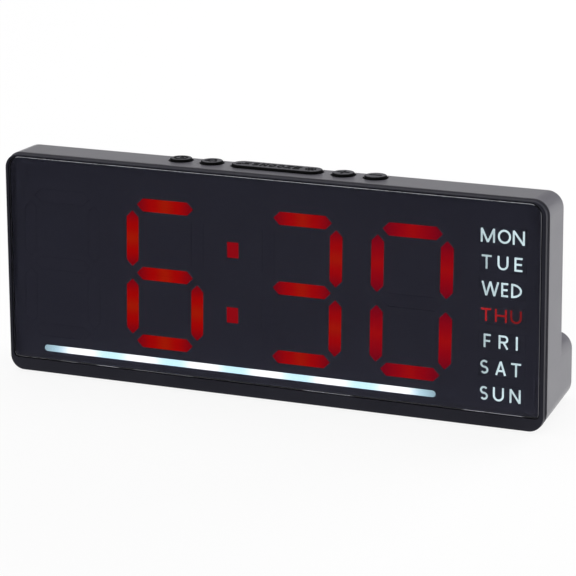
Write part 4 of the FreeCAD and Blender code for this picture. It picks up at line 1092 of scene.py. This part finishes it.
def makeBorder():
    # Film printed behind the edge of the lens; it hides the tape and the ledge. Its colour is painted paler towards
    # the outer edge as painted light.
    work = bmesh.new()
    rings = []
    for inset in (border["outer"], border["inner"]):
        line = lensOutline(inset)
        for depth in (border["front"], border["back"]):
            rings.append([work.verts.new((x, depth, z)) for x, z in line])
    count = len(rings[0])
    for a, b in ((0, 1), (1, 3), (3, 2), (2, 0)):
        for i in range(count):
            j = (i + 1) % count
            work.faces.new((rings[a][i], rings[a][j], rings[b][j], rings[b][i]))
    mesh = faceMesh(work, "printedBorder")
    # The outer rings get the full painted light, the inner rings none.
    setPointValue(mesh, "rim", [1.0] * (2 * count) + [0.0] * (2 * count))
    linkPiece("printedBorder", mesh, [printedBorder()])


makeBorder()
print("border printed behind the lens")


screws = {
    "headRadius": 2.5,
    "headHeight": 1.6,
    "shankRadius": 1.3,
    "shankSides": 16,
    "crossReach": 1.35,
    "crossHalfWidth": 0.36,
    "crossDepth": 0.85,
    "apart": (6, 60, 6),  # points nearer than this belong to one screw
}


def crossRing(reach, half):
    # 24 points round a cross recess, one quarter after the other.
    between = (reach + half) / 2
    corners = [(reach, -half), (reach, 0), (reach, half), (between, half), (half, half), (half, between)]
    ring = []
    for cosine, sine in ((1, 0), (0, 1), (-1, 0), (0, -1)):
        ring += [(x * cosine - z * sine, x * sine + z * cosine) for x, z in corners]
    return ring


def roundRing(radius, steps=24):
    return arcPoints((0, 0), (radius, radius), -15, 345, steps)[:-1]


def screwHead():
    work = bmesh.new()
    height, radius = screws["headHeight"], screws["headRadius"]
    cross = crossRing(screws["crossReach"], screws["crossHalfWidth"])
    sunk = crossRing(screws["crossReach"] * 0.7, screws["crossHalfWidth"] * 0.75)
    levels = [(roundRing(radius), 0), (roundRing(radius), height * 0.5), (roundRing(radius * 0.95), height * 0.78),
              (roundRing(radius * 0.82), height * 0.94), (roundRing(radius * 0.66), height), (cross, height),
              (sunk, height - screws["crossDepth"])]
    addRings(work, levels)
    return finishedMesh(work, "screwHead")


def screwTree():
    # Heads on the marked points, shanks along the edges.
    inputs = {"Places": "Geometry", "Head": "Object", "Shank Radius": "Float", "Finish": "Material"}
    tree, entry = startTree("screwRow", inputs, "Screws")
    marked = newNode(tree, "GeometryNodeInputNamedAttribute", {"Name": "head"}, data_type="BOOLEAN")
    head = newNode(tree, "GeometryNodeObjectInfo", {"Object": entry["Head"]}).outputs["Geometry"]
    values = {"Points": entry["Places"], "Selection": marked.outputs["Attribute"], "Instance": head}
    heads = newNode(tree, "GeometryNodeInstanceOnPoints", values).outputs[0]
    line = newNode(tree, "GeometryNodeMeshToCurve", {"Mesh": entry["Places"]}).outputs[0]
    both = newNode(tree, "GeometryNodeJoinGeometry", {0: heads})
    feed(both, {0: sweepRound(tree, line, entry["Shank Radius"], screws["shankSides"], True)})
    return endTree(tree, both.outputs[0], entry["Finish"])


def makeScrews():
    points, edges, heads = [], [], []
    for low, high in clusters("housing_screws", screws["apart"]):
        x, z = (low[0] + high[0]) / 2, (low[2] + high[2]) / 2
        points += [(x, high[1] - screws["headHeight"], z), (x, low[1], z)]
        edges.append((len(points) - 2, len(points) - 1))
        heads += [True, False]
    places = bpy.data.meshes.new("screwPlaces")
    places.from_pydata(points, edges, [])
    places.attributes.new("head", "BOOLEAN", "POINT").data.foreach_set("value", heads)
    head = linkObject("screwHead", screwHead())
    values = {"Head": head, "Shank Radius": screws["shankRadius"], "Finish": screwSteel}
    mesh = applyNodes("backScrews", places, screwTree(), values)
    bpy.data.objects.remove(head)
    linkPiece("backScrews", mesh, [], ["housing_screws"])
    print("screws:", len(edges))


makeScrews()


springs = {"wire": 0.3, "wireSides": 8, "turns": 4.5, "radius": 2.65, "stepsPerTurn": 20, "apart": (6, 8, 3)}


def springTree():
    inputs = {"Places": "Geometry", "Wire": "Float", "Turns": "Float", "Coil Radius": "Float", "Length": "Float"}
    tree, entry = startTree("springRow", {**inputs, "Finish": "Material"}, "Springs")
    radius = entry["Coil Radius"]
    values = {"Rotations": entry["Turns"], "Start Radius": radius, "End Radius": radius, "Height": entry["Length"]}
    spiral = newNode(tree, "GeometryNodeCurveSpiral", {"Resolution": springs["stepsPerTurn"], **values})
    coil = sweepRound(tree, spiral.outputs[0], entry["Wire"], springs["wireSides"], True)
    coil = newNode(tree, "GeometryNodeTransform", {"Geometry": coil, "Rotation": (0, math.pi / 2, 0)}).outputs[0]
    coils = newNode(tree, "GeometryNodeInstanceOnPoints", {"Points": entry["Places"], "Instance": coil})
    return endTree(tree, coils.outputs[0], entry["Finish"])


def makeSprings():
    boxes = clusters("contact_springs", springs["apart"])
    places = bpy.data.meshes.new("springPlaces")
    wire = springs["wire"]
    starts = [(low[0] + wire, (low[1] + high[1]) / 2, (low[2] + high[2]) / 2) for low, high in boxes]
    places.from_pydata(starts, [], [])
    length = boxes[0][1][0] - boxes[0][0][0] - 2 * wire
    values = {"Wire": wire, "Turns": springs["turns"], "Coil Radius": springs["radius"], "Length": length,
              "Finish": contactSteel}
    mesh = applyNodes("coiledSprings", places, springTree(), values)
    mesh.shade_smooth()
    linkPiece("coiledSprings", mesh, [], ["contact_springs"])
    print("springs:", len(boxes))


makeSprings()


def pressedPaper():
    material, tree, shader = newMaterial("pressedPaper")
    coordinate = objectPlace(tree)
    fibres = scaledNoise(tree, coordinate, 1200, 6.0, 0.7)
    fibrous = blendColours(tree, fibres, (0.02, 0.02, 0.021), (0.06, 0.058, 0.055))
    feed(shader, {"Base Color": fibrous, "Roughness": 0.9})
    addBump(tree, shader, fibres, 0.00006)
    return material


# radius, depth behind the front plane, and the finish of the band that follows:
# 0 basket, 1 surround, 2 paper
speakerProfile = (
    (0.4, 15.3, 0), (7.6, 15.3, 0), (8.0, 15.6, 0), (8.0, 17.2, 0), (8.8, 17.5, 0), (13.7, 17.5, 0),
    (14.0, 17.8, 0), (14.0, 20.2, 0), (13.8, 20.4, 0), (12.9, 20.4, 1), (12.6, 19.9, 1), (12.2, 20.2, 1),
    (11.7, 20.35, 1), (11.2, 20.2, 1), (10.8, 19.8, 1), (10.5, 19.4, 2), (8.5, 18.75, 2), (6.5, 18.15, 2),
    (4.6, 17.7, 2), (4.3, 18.2, 2), (3.4, 18.75, 2), (2.0, 19.1, 2), (0.4, 19.2, 2),
)


def makeSpeaker():
    low, high = faceBox("speaker")
    x, z = (low[0] + high[0]) / 2, (low[2] + high[2]) / 2
    work = bmesh.new()
    levels = [([(x + a, z + b) for a, b in roundRing(radius, 56)], depth) for radius, depth, finish in speakerProfile]
    for band, (radius, depth, finish) in zip(addRings(work, levels), speakerProfile):
        for skin in band:
            skin.material_index = finish
            skin.smooth = True
    bands = [basketSteel, rubberBlack, pressedPaper()]
    linkPiece("speakerUnit", faceMesh(work, "speakerUnit"), bands, ["speaker"])


makeSpeaker()
print("speaker turned")
